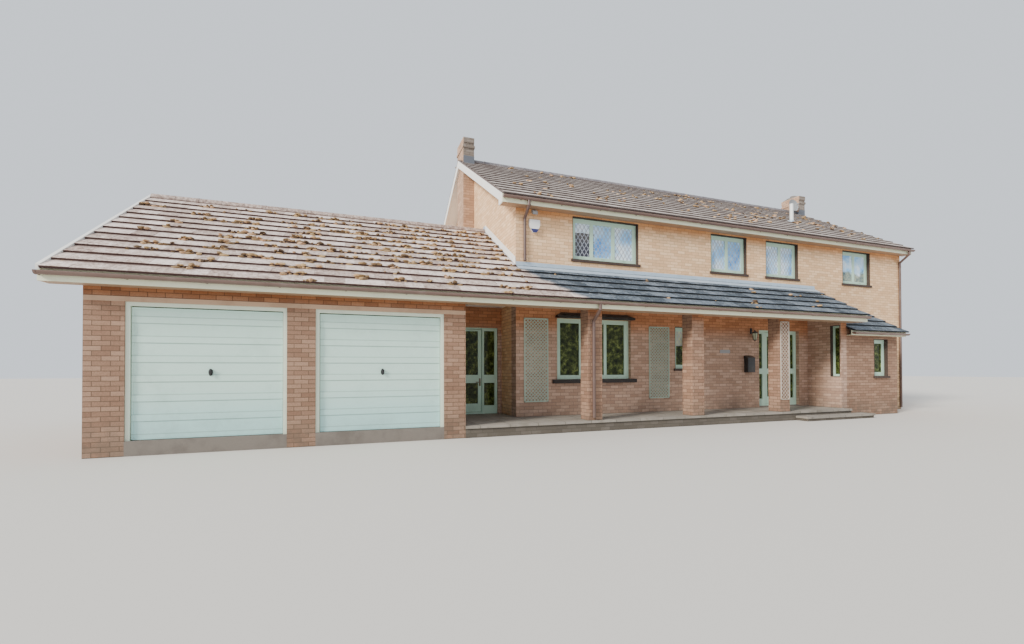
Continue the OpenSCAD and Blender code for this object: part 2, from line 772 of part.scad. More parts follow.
// Holes for a list of windows through a wall that runs along X
module window_holes(windows, y0, y1) {
  for (w = windows)
    block([w[0], w[0] + w[1]], [y0 - 1, y1 + 1], [w[2], w[2] + w[3]]);
}

entrance_x0 = house_x + entrance_x;
entrance_x1 = entrance_x0 + entrance_w;
entrance_top_z = sill_z + entrance_h;
lower_x = [house_x + lower_win_x, house_x + lower_win_x + lower_win_w];
lower_z = [sill_z + lower_sill_h, sill_z + lower_sill_h + lower_win_h];

module front_wall_left() color(brick) place() difference() {
  block([house_x, entrance_x0], [house_setback, house_setback + wall_t], [0, split_z]);
  block(lower_x, [house_setback - 1, house_setback + wall_t + 1], lower_z);
  window_holes([hall_window], house_setback, house_setback + wall_t);
}

module entrance_lintel() color(brick) place() {
  block([entrance_x0, entrance_x1], [house_setback, house_setback + wall_t],
    [entrance_top_z, split_z]);
  block([side_x0 + wall_t, side_x1 - wall_t], [house_setback, house_setback + wall_t],
    [entrance_top_z, split_z]);
}

// Wall right of the entrance, with the doorway into the side room left free
module front_wall_right() color(brick) place() {
  block([entrance_x1, side_x0 + wall_t], [house_setback, house_setback + wall_t],
    [0, split_z]);
  block([side_x1 - wall_t, house_x1], [house_setback, house_setback + wall_t], [0, split_z]);
}

module front_wall_upper() color(brick_pale) place() difference() {
  along_x(house_x, house_x1) polygon([[house_setback, split_z],
    [house_setback + wall_t, split_z],
    [house_setback + wall_t, high_under_z(house_setback + wall_t)],
    [house_setback, high_under_z(house_setback)]]);
  window_holes(front_upper_windows, house_setback, house_setback + wall_t);
}

module rear_wall() color(brick_pale) place() difference() {
  along_x(house_x, house_x1) polygon([[house_y1, 0], [house_y1 - wall_t, 0],
    [house_y1 - wall_t, high_under_z(house_y1 - wall_t)], [house_y1, high_under_z(house_y1)]]);
  window_holes(rear_windows, house_y1 - wall_t, house_y1);
}

module gable_profile() {
  y0 = house_setback + wall_t;
  y1 = house_y1 - wall_t;
  polygon([[y0, 0], [y1, 0], [y1, high_under_z(y1)], [house_ridge_y, high_under_z(house_ridge_y)],
    [y0, high_under_z(y0)]]);
}

// The left gable is open below towards the link, where both share one room
module left_gable_wall() color(brick_pale) place()
  along_x(house_x, house_x + wall_t) gable_profile();

module right_gable_wall() color(brick_pale) place()
  along_x(house_x1 - wall_t, house_x1) gable_profile();

// The side room's left wall closes the end of the porch
side_win_y = side_setback + 30;
side_light_w = 270;
side_light_top_z = sill_z + low_soffit_h - course_h / 2;
module side_room_left_wall() color(brick) place() difference() {
  along_x(side_x0, side_x0 + garage_wall_t)
    low_wall_profile(side_setback, house_setback, 0);
  block([side_x0 - 1, side_x0 + garage_wall_t + 1], [side_win_y, side_win_y + side_light_w],
    [sill_z + side_sill_h, side_light_top_z]);
}

module side_wall_profile(y0, y1)
  polygon([[y0, 0], [y1, 0], [y1, side_under_z(y1)], [y0, side_under_z(y0)]]);

module side_room_front_wall() color(brick) place() difference() {
  along_x(side_x0 + garage_wall_t, side_x1)
    side_wall_profile(side_setback, side_setback + garage_wall_t);
  window_holes([side_front_window], side_setback, side_setback + garage_wall_t);
}

module side_room_right_wall() color(brick) place()
  along_x(side_x1 - garage_wall_t, side_x1)
    side_wall_profile(side_setback + garage_wall_t, house_setback);

nosing = 25;
platform_y0 = -40;
step_x0 = entrance_x0 - 150;
step_x1 = side_x0 + 420;
module porch_platform() color(brick) place() {
  block([garage_l, side_x0], [platform_y0 + nosing, house_setback], [0, sill_z - paving_t]);
  block([garage_l, house_x], [house_setback, link_setback], [0, sill_z - paving_t]);
  block([step_x0 + nosing, step_x1 - nosing],
    [platform_y0 + nosing - step_d, platform_y0 + nosing], [0, sill_z / 2 - paving_t]);
}

module porch_paving() color(concrete) place() {
  block([garage_l, side_x0], [platform_y0, house_setback], [sill_z - paving_t, sill_z]);
  block([garage_l, house_x], [house_setback, link_setback], [sill_z - paving_t, sill_z]);
  block([step_x0, step_x1], [platform_y0 - step_d, platform_y0 + nosing],
    [sill_z / 2 - paving_t, sill_z / 2]);
}

pier_top_z = sill_z + pier_top_h;
module porch_piers() color(brick) place()
  for (x = pier_xs) block([x, x + pier_w], [0, pier_w], [sill_z, pier_top_z]);

beam_y0 = (pier_w - beam_t) / 2;
module porch_beam() color(dark_timber) place()
  along_x(garage_l, side_x0 + garage_wall_t)
    low_wall_profile(beam_y0, beam_y0 + beam_t, pier_top_z);

module porch_ceiling() color(white) place() {
  block([garage_l, side_x0], [beam_y0 + beam_t, house_setback],
    [ceiling_z, ceiling_z + soffit_t]);
  block([garage_l, house_x], [house_setback, link_setback], [ceiling_z, ceiling_z + soffit_t]);
}

// Stack from the ground to its oversailing band and cap
stack_top_z = high_apex_z + chimney_rise;
module chimney(x) {
  y0 = house_ridge_y - chimney_w / 2;
  y1 = y0 + chimney_w;
  block([x, x + chimney_d], [y0, y1], [0, stack_top_z - 2 * course_h]);
  block([x, x + chimney_d], [y0 - band_over, y1 + band_over],
    [stack_top_z - 2 * course_h, stack_top_z]);
}

module left_chimney() color(brick_pale) place() chimney(house_x - chimney_d);
module right_chimney() color(brick_pale) place() chimney(house_x1);

module chimney_pots() color(tile_dark) place()
  for (x = [house_x - chimney_d / 2, house_x1 + chimney_d / 2])
    translate([x, house_ridge_y, stack_top_z]) rotate_extrude() {
      wall = 22;
      translate([pot_r - wall - 12, 0]) square([wall, pot_h]);
      translate([pot_r - wall - 12, pot_h - 60]) square([wall + 12, 60]);
      translate([pot_r - wall - 12, 0]) square([wall + 12, 45]);
    }

// Rectangular ring between two corners in X and Z, at a depth range in Y
module ring(x, y, z, w) {
  difference() {
    block(x, y, z);
    block([x[0] + w, x[1] - w], [y[0] - 1, y[1] + 1], [z[0] + w, z[1] - w]);
  }
}

function sum_to(v, i) = i <= 0 ? 0 : v[i - 1] + sum_to(v, i - 1);
// Width of the glass in all lights of a window, and the left edge of one light; narrow
// windows have narrower casements
function face_w(w) = min(sash_w, 0.22 * w[1]);
function glazed_w(w) =
  w[1] - 2 * (lining_t + face_w(w)) - (len(w[4]) - 1) * bar_w;
function light_x(w, i) =
  w[0] + lining_t + face_w(w) + sum_to(w[4], i) * glazed_w(w) + i * bar_w;
module lights(w, y)
  for (i = [0:len(w[4]) - 1])
    block([light_x(w, i), light_x(w, i) + w[4][i] * glazed_w(w)], y,
      [w[2] + lining_t + face_w(w), w[2] + w[3] - lining_t - face_w(w)]);

module window_frame(w, y0)
  ring([w[0], w[0] + w[1]], [y0, y0 + lining_d], [w[2], w[2] + w[3]], lining_t);

module window_sash(w, y0) difference() {
  block([w[0] + lining_t, w[0] + w[1] - lining_t], [y0, y0 + sash_d],
    [w[2] + lining_t, w[2] + w[3] - lining_t]);
  lights(w, [y0 - 1, y0 + sash_d + 1]);
}

module window_panes(w, y0)
  lights(w, [y0 + (sash_d - glass_t) / 2, y0 + (sash_d + glass_t) / 2]);

module sill(w, face_y, dir) {
  y_out = face_y - dir * sill_over;
  block([w[0] - 40, w[0] + w[1] + 40], [min(y_out, face_y), max(y_out, face_y)],
    [w[2] - sill_h, w[2] + lining_t]);
}

front_sash_y = house_setback + sash_setback;
rear_sash_y = house_y1 - sash_setback - sash_d;
side_sash_y = side_setback + sash_setback;
front_windows = concat(front_upper_windows, [hall_window]);

// The side light looks along X, so it is drawn along Y and turned
side_light = [0, side_light_w, sill_z + side_sill_h,
  side_light_top_z - sill_z - side_sill_h, [1]];
module turn_to_side() translate([side_x0, side_win_y + side_light_w, 0]) rotate([0, 0, -90])
  children();

module window_frames() color(brown) place() {
  for (w = front_windows) window_frame(w, house_setback);
  for (w = rear_windows) window_frame(w, house_y1 - lining_d);
  window_frame(side_front_window, side_setback);
  turn_to_side() window_frame(side_light, 0);
}

module window_casements() color(mint) place() {
  for (w = front_windows) window_sash(w, front_sash_y);
  for (w = rear_windows) window_sash(w, rear_sash_y);
  window_sash(side_front_window, side_sash_y);
  turn_to_side() window_sash(side_light, sash_setback);
}

module window_sills() color(dark_timber) place() {
  for (w = front_windows) sill(w, house_setback, 1);
  for (w = rear_windows) sill(w, house_y1, -1);
  sill(side_front_window, side_setback, 1);
}

module window_glass() color(glass_tone) place() {
  for (w = front_windows) window_panes(w, front_sash_y);
  for (w = rear_windows) window_panes(w, rear_sash_y);
  window_panes(side_front_window, side_sash_y);
  turn_to_side() window_panes(side_light, sash_setback);
  lower_panes();
  link_light_panes();
  sidelight_panes();
}

// Three lights in one deep set frame, the middle one a little wider
lower_shares = [0.313, 0.374, 0.313];
lower_post = 75;
lower_y = [house_setback + lower_setback, house_setback + lower_setback + frame_d];
lower_glazed_w = lower_win_w - 2 * lower_frame_w - 2 * lower_post;
function lower_light_x(i) =
  lower_x[0] + lower_frame_w + sum_to(lower_shares, i) * lower_glazed_w + i * lower_post;
module lower_lights(y)
  for (i = [0:2])
    block([lower_light_x(i), lower_light_x(i) + lower_shares[i] * lower_glazed_w], y,
      [lower_z[0] + lower_frame_w - 30, lower_z[1] - lower_frame_w + 20]);

module lower_window() color(mint) place() difference() {
  block(lower_x, lower_y, lower_z);
  lower_lights([lower_y[0] - 1, lower_y[1] + 1]);
}

module lower_panes() {
  mid = (lower_y[0] + lower_y[1] - glass_t) / 2;
  lower_lights([mid, mid + glass_t]);
}

// Dark hood over the window, sloped to its front and ends, and the dark sill under it
module window_hood() color(dark_timber) place() {
  over = 40;
  nose_h = 45;
  hip_w = 140;
  sill_end = 125;
  sill_reach = 80;
  x0 = lower_x[0] - over;
  x1 = lower_x[1] + over;
  foot_z = lower_z[1];
  top_z = foot_z + hood_h;
  front_y = house_setback - hood_d;
  intersection() {
    along_x(x0, x1)
      polygon([[front_y, foot_z], [house_setback, foot_z], [house_setback, top_z],
        [front_y, foot_z + nose_h]]);
    translate([0, house_setback, 0]) rotate([90, 0, 0]) linear_extrude(hood_d)
      polygon([[x0, foot_z], [x1, foot_z], [x1, foot_z + nose_h], [x1 - hip_w, top_z],
        [x0 + hip_w, top_z], [x0, foot_z + nose_h]]);
  }
  block([lower_x[0] - sill_end, lower_x[1] + sill_end],
    [house_setback - sill_reach, house_setback], [lower_z[0] - 2 * sill_h, lower_z[0]]);
}

// Front entrance: a door between two side lights
jamb_w = 55;
post_w = 60;
entrance_setback = 100;
entrance_y0 = house_setback + entrance_setback;
entrance_y1 = entrance_y0 + frame_d + 10;
door_hole_w = front_door_w + 2 * leaf_gap;
side_hole_w = (entrance_w - 2 * jamb_w - 2 * post_w - door_hole_w) / 2;
door_hole_x = entrance_x0 + jamb_w + side_hole_w + post_w;
rail_z = [sill_z + 930, sill_z + 1080];
side_hole_xs = [entrance_x0 + jamb_w, door_hole_x + door_hole_w + post_w];
side_stile = 45;

module entrance_frame() color(mint) place() {
  difference() {
    block([entrance_x0, entrance_x1], [entrance_y0, entrance_y1],
      [threshold_z, entrance_top_z]);
    block([door_hole_x, door_hole_x + door_hole_w], [entrance_y0 - 1, entrance_y1 + 1],
      [floor_z, entrance_top_z - jamb_w]);
    for (x = side_hole_xs)
      for (z = [[floor_z + 160, rail_z[0]], [rail_z[1], entrance_top_z - jamb_w - side_stile]])
        block([x + side_stile, x + side_hole_w - side_stile],
          [entrance_y0 - 1, entrance_y1 + 1], z);
  }
}

module sidelight_panes() {
  mid = (entrance_y0 + entrance_y1 - glass_t) / 2;
  for (x = side_hole_xs)
    for (z = [[floor_z + 160, rail_z[0]], [rail_z[1], entrance_top_z - jamb_w - side_stile]])
      block([x + side_stile, x + side_hole_w - side_stile], [mid, mid + glass_t], z);
}

// Glazed door leaf with stiles, top, middle and bottom rails, a lever handle and, on the
// line on which it turns, three hinge knuckles proud of its inner face
knuckle_r = 7;
module glazed_leaf(x, y, z, middle, stile, top_rail) {
  handle_z = middle[0] - 30;
  difference() {
    block(x, y, z);
    for (r = [[z[0] + 200, middle[0]], [middle[1], z[1] - top_rail]])
      block([x[0] + stile, x[1] - stile], [y[0] - 1, y[1] + 1], r);
  }
  translate([x[1] - stile / 2, y[0], handle_z + 50]) {
    rotate([90, 0, 0]) cylinder(h = 50, r = 9);
    translate([-110, -56, -8]) cube([120, 14, 16]);
    translate([-20, -8, -90]) cube([40, 8, 180]);
  }
  knuckle_h = 100;
  for (k = [z[0] + 150, (z[0] + z[1]) / 2, z[1] - 150 - knuckle_h]) {
    translate([x[0], y[1] + knuckle_r, k]) cylinder(h = knuckle_h, r = knuckle_r);
    block([x[0], x[0] + 38], [y[1], y[1] + 3], [k, k + knuckle_h]);
  }
}

module glazed_leaf_panes(x, y, z, middle, stile, top_rail) {
  mid = (y[0] + y[1] - glass_t) / 2;
  for (r = [[z[0] + 200, middle[0]], [middle[1], z[1] - top_rail]])
    block([x[0] + stile, x[1] - stile], [mid, mid + glass_t], r);
}

door_leaf_t = 44;
front_leaf_x = [door_hole_x + leaf_gap, door_hole_x + leaf_gap + front_door_w];
front_leaf_y = [entrance_y1 - door_leaf_t, entrance_y1];
front_leaf_z = [floor_z + leaf_gap, entrance_top_z - jamb_w - leaf_gap];
front_stile = 105;
module front_door() color(mint) place()
  glazed_leaf(front_leaf_x, front_leaf_y, front_leaf_z, rail_z, front_stile, front_stile);
module front_door_glass() color(glass_tone) place()
  glazed_leaf_panes(front_leaf_x, front_leaf_y, front_leaf_z, rail_z, front_stile, front_stile);

// Link door: one hinged leaf beside a narrow fixed light
link_setback_y = link_setback + 50;
link_frame_y1 = link_setback_y + 80;
link_light_w = 265;
link_light_stile = 15;
link_post_w = 45;
link_head_w = 35;
link_stile = 90;
link_top_rail = 40;
link_hole_w = link_door_w - 2 * jamb_w - link_post_w - link_light_w - link_light_stile;
link_hole_x = link_door_x + jamb_w;
link_light_x = link_hole_x + link_hole_w + link_post_w;
link_leaf_x = [link_hole_x + leaf_gap, link_hole_x + link_hole_w - leaf_gap];
link_leaf_y = [link_frame_y1 - door_leaf_t, link_frame_y1];
link_leaf_z = [sill_z + 40 + leaf_gap, link_door_top_z - link_head_w - leaf_gap];
link_rail_z = [sill_z + 745, sill_z + 940];
link_light_zs = [[sill_z + 200, link_rail_z[0]],
  [link_rail_z[1], link_door_top_z - link_head_w - link_top_rail]];

module link_door_frame() color(mint) place() difference() {
  block([link_door_x, link_door_x1], [link_setback_y, link_frame_y1],
    [sill_z, link_door_top_z]);
  block([link_hole_x, link_hole_x + link_hole_w], [link_setback_y - 1, link_frame_y1 + 1],
    [sill_z + 40, link_door_top_z - link_head_w]);
  for (z = link_light_zs)
    block([link_light_x, link_light_x + link_light_w], [link_setback_y - 1, link_frame_y1 + 1],
      z);
}

module link_door() color(mint) place()
  glazed_leaf(link_leaf_x, link_leaf_y, link_leaf_z, link_rail_z, link_stile, link_top_rail);

module link_door_glass() color(glass_tone) place()
  glazed_leaf_panes(link_leaf_x, link_leaf_y, link_leaf_z, link_rail_z, link_stile,
    link_top_rail);

// Panes of the fixed light beside the link door
module link_light_panes() {
  mid = (link_setback_y + link_frame_y1 - glass_t) / 2;
  for (z = link_light_zs)
    block([link_light_x, link_light_x + link_light_w], [mid, mid + glass_t], z);
}

// Garage doors: timber frame, one piece leaf, lifting bar with rollers and two tracks
frame_y0 = door_frame_setback;
frame_y1 = frame_y0 + door_frame_d;
leaf_y0 = frame_y1 - leaf_t;
bar_y = leaf_y0 + bar_back;
head_under_z = garage_head_z - door_frame_w;
leaf_top_gap = 15;
leaf_top_z = head_under_z - leaf_top_gap;
bar_z = leaf_top_z - bar_back + 6;
leaf_foot_z = sill_z + leaf_gap;
track_gap = 5;
track_t = 3;
roller_w = 20;

module garage_door_frames() color(cream) place()
  for (x = garage_door_xs) {
    block([x, x + door_frame_w], [frame_y0, frame_y1], [sill_z, head_under_z]);
    block([x + garage_door_w - door_frame_w, x + garage_door_w], [frame_y0, frame_y1],
      [sill_z, head_under_z]);
    block([x, x + garage_door_w], [frame_y0, frame_y1], [head_under_z, garage_head_z]);
  }

// Sheet with raised bands, its edge turned back all round
module garage_leaf(x) {
  x0 = x + door_frame_w + leaf_gap;
  x1 = x + garage_door_w - door_frame_w - leaf_gap;
  sheet_t = 6;
  band_d = 8;
  first_band_z = sill_z + 285;
  bands = [for (z = [first_band_z:band_gap:leaf_top_z - band_h]) z];
  difference() {
    block([x0, x1], [leaf_y0, leaf_y0 + leaf_t], [leaf_foot_z, leaf_top_z]);
    block([x0 + 40, x1 - 40], [leaf_y0 + band_d + sheet_t, leaf_y0 + leaf_t + 1],
      [leaf_foot_z + 40, leaf_top_z - 40]);
    for (i = [0:len(bands)]) {
      z0 = i == 0 ? leaf_foot_z + 30 : bands[i - 1] + band_h;
      z1 = i == len(bands) ? leaf_top_z - 30 : bands[i];
      block([x0 + 25, x1 - 25], [leaf_y0 - 1, leaf_y0 + band_d], [z0, z1]);
    }
  }
  // Eyes that hold the lifting bar
  for (e = [x0 + 250, x1 - 250 - roller_w]) {
    difference() {
      union() {
        translate([e, bar_y, bar_z]) rotate([0, 90, 0]) cylinder(h = roller_w, r = bar_r + 8);
        block([e, e + roller_w], [leaf_y0 + band_d + sheet_t, bar_y],
          [bar_z - bar_r - 8, bar_z + bar_r + 8]);
      }
      translate([e - 1, bar_y, bar_z]) rotate([0, 90, 0])
        cylinder(h = roller_w + 2, r = bar_r + 1);
    }
  }
  // Handle at mid height
  handle_z = sill_z + 1030;
  handle_x = (x0 + x1) / 2;
  translate([handle_x, leaf_y0 + band_d, handle_z]) rotate([90, 0, 0]) {
    cylinder(h = band_d + 8, r = 28);
    cylinder(h = band_d + 35, r = 9);
    translate([-8, -55, band_d + 27]) cube([16, 110, 12]);
  }
}

module lifting_bar(x) {
  x0 = x + door_frame_w + track_gap;
  x1 = x + garage_door_w - door_frame_w - track_gap;
  translate([x0, bar_y, bar_z]) rotate([0, 90, 0]) cylinder(h = x1 - x0, r = bar_r);
  for (r = [x0 - roller_w, x1])
    translate([r, bar_y, bar_z]) rotate([0, 90, 0]) cylinder(h = roller_w, r = roller_r);
}

// Channel for the roller, open towards the door, hung from the roof at its far end
module track(x_open, dir, y0, y1) {
  h = roller_r + track_gap;
  depth = roller_w + 2 * track_gap;
  x_web = x_open + dir * depth;
  block([min(x_web, x_web + dir * track_t), max(x_web, x_web + dir * track_t)], [y0, y1],
    [bar_z - h - track_t, bar_z + h + track_t]);
  for (z = [bar_z - h - track_t, bar_z + h])
    block([min(x_open, x_web), max(x_open, x_web)], [y0, y1], [z, z + track_t]);
  hanger_w = 30;
  along_x(min(x_web, x_web + dir * track_t), max(x_web, x_web + dir * track_t))
    polygon([[y1 - hanger_w, bar_z + h + track_t], [y1, bar_z + h + track_t],
      [y1, low_under_z(y1)], [y1 - hanger_w, low_under_z(y1 - hanger_w)]]);
}

module garage_door_tracks() color(steel) place()
  for (x = garage_door_xs) {
    track(x + door_frame_w, -1, frame_y1, bar_y + bar_travel + 80);
    track(x + garage_door_w - door_frame_w, 1, frame_y1, bar_y + bar_travel + 80);
  }

module left_garage_door() color(door_mint) place() garage_leaf(door_1_x);
module right_garage_door() color(door_mint) place() garage_leaf(door_2_x);
module left_lifting_bar() color(steel) place() lifting_bar(door_1_x);
module right_lifting_bar() color(steel) place() lifting_bar(door_2_x);

// Lattice panel: a frame round crossed laths
module trellis(x, y, z, w, h, pitch) {
  lath = 14;
  rim = 28;
  depth = 22;
  reach = w + h;
  n = floor(reach / 2 / pitch);
  translate([x, y, z]) rotate([90, 0, 0]) linear_extrude(depth) {
    difference() {
      square([w, h]);
      translate([rim, rim]) square([w - 2 * rim, h - 2 * rim]);
    }
    intersection() {
      translate([rim / 2, rim / 2]) square([w - rim, h - rim]);
      union() {
        for (i = [-n:n]) {
          translate([w / 2 + i * pitch, h / 2]) rotate(45)
            square([lath, 2 * reach], center = true);
          translate([w / 2 + i * pitch, h / 2]) rotate(-45)
            square([lath, 2 * reach], center = true);
        }
      }
    }
  }
}

// Panels on the wall: distance from the left gable, width, foot and height
wall_trellises = [[190, 598, 326, 1911], [3563, 613, 340, 1799]];
lattice_pitch = 160;
lattice_foot_h = 300;
lattice_h = 1950;
lattice_margin = 20;
module trellis_panels() color([0.55, 0.60, 0.55]) place() {
  for (t = wall_trellises)
    trellis(house_x + t[0], house_setback, sill_z + t[2], t[1], t[3], lattice_pitch);
  trellis(pier_xs[2] + lattice_margin, 0, sill_z + lattice_foot_h,
    pier_w - 2 * lattice_margin, lattice_h, lattice_pitch);
}

// Fittings on the walls and roof
module wall_fittings() place() {
  color(dark_timber) letter_box();
  color(dark_timber) wall_lantern();
  color(white) alarm_box();
  color(white) security_light();
  color(steel) satellite_dish();
  color(white) vent_pipe();
}

// Box with a sloping lid, left of the entrance
module letter_box() {
  x = entrance_x0 - 554;
  w = 380;
  d = 160;
  z = [sill_z + 980, sill_z + 1370];
  lid_over = 10;
  lid_h = 70;
  block([x, x + w], [house_setback - d, house_setback], z);
  along_x(x, x + w) polygon([[house_setback, z[1]], [house_setback - d - lid_over, z[1]],
    [house_setback, z[1] + lid_h]]);
}

// Tapered lantern hung from a bracket on a back plate
module wall_lantern() {
  body_h = 190;
  reach = 130;
  arm_t = 16;
  plate_t = 8;
  translate([entrance_x0 - 292, house_setback - reach, sill_z + 1857]) {
    cylinder(h = body_h, r1 = 45, r2 = 75);
    translate([0, 0, body_h]) cylinder(h = 70, r1 = 90, r2 = 15);
    translate([0, 0, -40]) cylinder(h = 40, r = 12);
    translate([-arm_t / 2, 0, body_h + 65]) cube([arm_t, reach, arm_t]);
    translate([-35, reach - plate_t, body_h - 10]) cube([70, plate_t, 160]);
  }
}

// Bare box with its lower corners cut away, high up beside the left gable
module alarm_box() {
  w = 262;
  h = 292;
  corner_h = 107;
  translate([house_x + 316, house_setback, sill_z + 4186]) rotate([90, 0, 0])
    linear_extrude(70) polygon([[w * 0.3, 0], [w * 0.7, 0], [w, corner_h], [w, h], [0, h],
      [0, corner_h]]);
}

module security_light() {
  x = house_x + 380;
  block([x, x + 130], [house_setback - 90, house_setback],
    [high_soffit_z - 130, high_soffit_z - 20]);
}

// Shallow dish turned out of an arc, on an arm from the inner face of the right stack
module satellite_dish() {
  r = 245;
  curve_r = 600;
  sheet_t = 4;
  arm_r = 15;
  arm_l = 90;
  rim_a = asin(r / curve_r);
  arc = [for (i = [0:8]) i * rim_a / 8];
  back = [house_x1 - 280, house_ridge_y - chimney_w / 2 + 40, high_apex_z + 130];
  elbow = back + [0, arm_l, 0];
  translate(back) rotate([80, 0, 0]) rotate_extrude()
    polygon(concat(
      [for (a = arc) [curve_r * sin(a), curve_r * (1 - cos(a))]],
      [for (i = [8:-1:0]) [(curve_r - sheet_t) * sin(arc[i]),
        curve_r - (curve_r - sheet_t) * cos(arc[i])]]));
  pipe_leg(back, elbow, arm_r);
  translate(elbow) sphere(arm_r + 2);
  pipe_leg(elbow, [house_x1, elbow[1], elbow[2]], arm_r);
}

// Pipe that stands on the front slope short of the right stack
module vent_pipe() {
  x = house_x1 - 3110;
  y = house_ridge_y - 2530;
  r = 55;
  difference() {
    translate([x, y, high_under_z(y)]) cylinder(h = 650, r = r);
    for (drop = [0, 40])
      translate([0, 0, -drop]) along_x(x - 2 * r, x + 2 * r) high_front_profile();
  }
}

ground_floor();
upper_floor();
garage_piers();
garage_lintels();
garage_wall_head();
garage_left_wall();
garage_right_wall();
garage_rear_wall();
link_wall_jambs();
link_wall_head();
front_wall_left();
front_wall_right();
front_wall_upper();
entrance_lintel();
left_gable_wall();
right_gable_wall();
rear_wall();
side_room_left_wall();
side_room_front_wall();
side_room_right_wall();
side_room_roof();
porch_platform();
porch_paving();
porch_piers();
porch_beam();
porch_ceiling();
porch_roof();
main_roof_front();
main_roof_rear();
garage_roof_front();
garage_roof_rear();
ridge_tiles();
eaves_boards();
barge_boards();
gutters();
downpipes();
flashings();
left_chimney();
right_chimney();
chimney_pots();
window_frames();
window_casements();
window_sills();
window_glass();
lower_window();
window_hood();
entrance_frame();
front_door();
front_door_glass();
link_door_frame();
link_door();
link_door_glass();
garage_door_frames();
garage_door_tracks();
left_garage_door();
right_garage_door();
left_lifting_bar();
right_lifting_bar();
trellis_panels();
wall_fittings();
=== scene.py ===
"""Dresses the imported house: brickwork, tiles, joinery, rainwater goods and fittings."""

import math
import random
from typing import NamedTuple

import bmesh
import bpy
from bpy.props import FloatProperty, FloatVectorProperty, IntProperty, PointerProperty
from mathutils import Matrix, Vector


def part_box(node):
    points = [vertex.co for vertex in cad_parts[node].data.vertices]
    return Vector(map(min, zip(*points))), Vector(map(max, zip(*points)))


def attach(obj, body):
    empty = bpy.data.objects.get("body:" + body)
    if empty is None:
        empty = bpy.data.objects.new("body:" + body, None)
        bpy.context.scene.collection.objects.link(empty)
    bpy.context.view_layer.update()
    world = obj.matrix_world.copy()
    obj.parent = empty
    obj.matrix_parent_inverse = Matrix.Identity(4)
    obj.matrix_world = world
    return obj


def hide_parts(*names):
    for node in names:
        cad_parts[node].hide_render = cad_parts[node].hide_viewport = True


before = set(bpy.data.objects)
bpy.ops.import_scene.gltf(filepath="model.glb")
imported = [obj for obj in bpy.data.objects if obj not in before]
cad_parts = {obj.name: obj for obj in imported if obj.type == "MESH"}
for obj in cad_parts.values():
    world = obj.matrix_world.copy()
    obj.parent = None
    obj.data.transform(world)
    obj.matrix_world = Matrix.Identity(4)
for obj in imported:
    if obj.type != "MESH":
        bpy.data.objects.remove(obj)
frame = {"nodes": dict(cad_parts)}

bl_info = {
    "name": "Brick House Dressing",
    "version": (1, 0, 0),
    "blender": (4, 5, 0),
    "location": "View3D > Sidebar > House",
    "description": "Finishes and small pieces of a detached brick house",
    "category": "Object",
}

BODY = "house"
FRONT = Vector((0, -1, 0))
UP = Vector((0, 0, 1))

# The drawing's own zero: the left garage corner, the garage front and the foot of the walls
SITE = Vector((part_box("garage_left_wall")[0].x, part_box("garage_piers")[0].y, 0.0))


def drawn(node):
    """Both corners of a CAD node in the drawing's metres, to a tenth of a millimetre."""
    return [[round(value, 4) for value in corner - SITE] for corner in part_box(node)]


def ends(node):
    """Both ends of a CAD node along X, in the drawing's metres."""
    return [corner[0] for corner in drawn(node)]


def at(x, y, z):
    """A point of the drawing, in the row frame."""
    return SITE + Vector((x, y, z))


def corners(xs, ys, zs, origin=Vector()):
    """Both corners of a box, from its ends along X, Y and Z."""
    return [origin + Vector(corner) for corner in zip(xs, ys, zs)]


# Lines of the walls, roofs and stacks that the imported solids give
SILL_Z = drawn("garage_door_frames")[0][2]
(HOUSE_X0, HOUSE_Y0, _), (HOUSE_X1, _, _) = drawn("front_wall_upper")
HOUSE_Y1 = drawn("rear_wall")[1][1]
RIDGE_Y = drawn("main_roof_front")[1][1]
GARAGE_RIDGE_Y = drawn("garage_roof_front")[1][1]
VERGE_X = drawn("ridge_tiles")[0][0]
PORCH_X1 = drawn("porch_roof")[1][0]
SIDE_ROOM_X1 = drawn("side_room_front_wall")[1][0]
SIDE_ROOM_Y0 = drawn("side_room_front_wall")[0][1]

# The roofs' pitch, their undersides at the eaves, how far they and their lowest tiles hang over,
# and the thickness of a course and its step
PITCH = math.radians(31.0)
LOW_EAVES_Z, HIGH_EAVES_Z, SIDE_EAVES_Z = 2.715, 5.123, 2.340
EAVES_OVER, SIDE_EAVES_OVER, TAIL_OVER = 0.250, 0.150, 0.045
COVER_HEAD, COVER_STEP = 0.020, 0.026

# The stacks' shafts below their oversailing heads
STACK_Y, STACK_D = (4.690, 5.430), 0.330
STACKS = ((HOUSE_X0 - STACK_D, HOUSE_X0), (HOUSE_X1, HOUSE_X1 + STACK_D))

# Places that tell the front's windows apart: the left edge of the narrow hall window's pane, the
# right edge of the light before the dark room, and a line left of the last upper window, which
# has no leading
HALL_PANE_X = HOUSE_X0 + 4.365
DARK_ROOM_X1 = HOUSE_X0 + 2.06
LAST_WINDOW_X0 = HOUSE_X0 + 10.5


def low_roof_z(y):
    """Underside of the garage's tiles at a distance behind the garage front."""
    return LOW_EAVES_Z + (EAVES_OVER + min(y, 2 * GARAGE_RIDGE_Y - y)) * math.tan(PITCH)


def high_roof_z(y):
    """Underside of the high roof's tiles on its front slope."""
    return HIGH_EAVES_Z + (EAVES_OVER + y - HOUSE_Y0) * math.tan(PITCH)


# Shader expressions


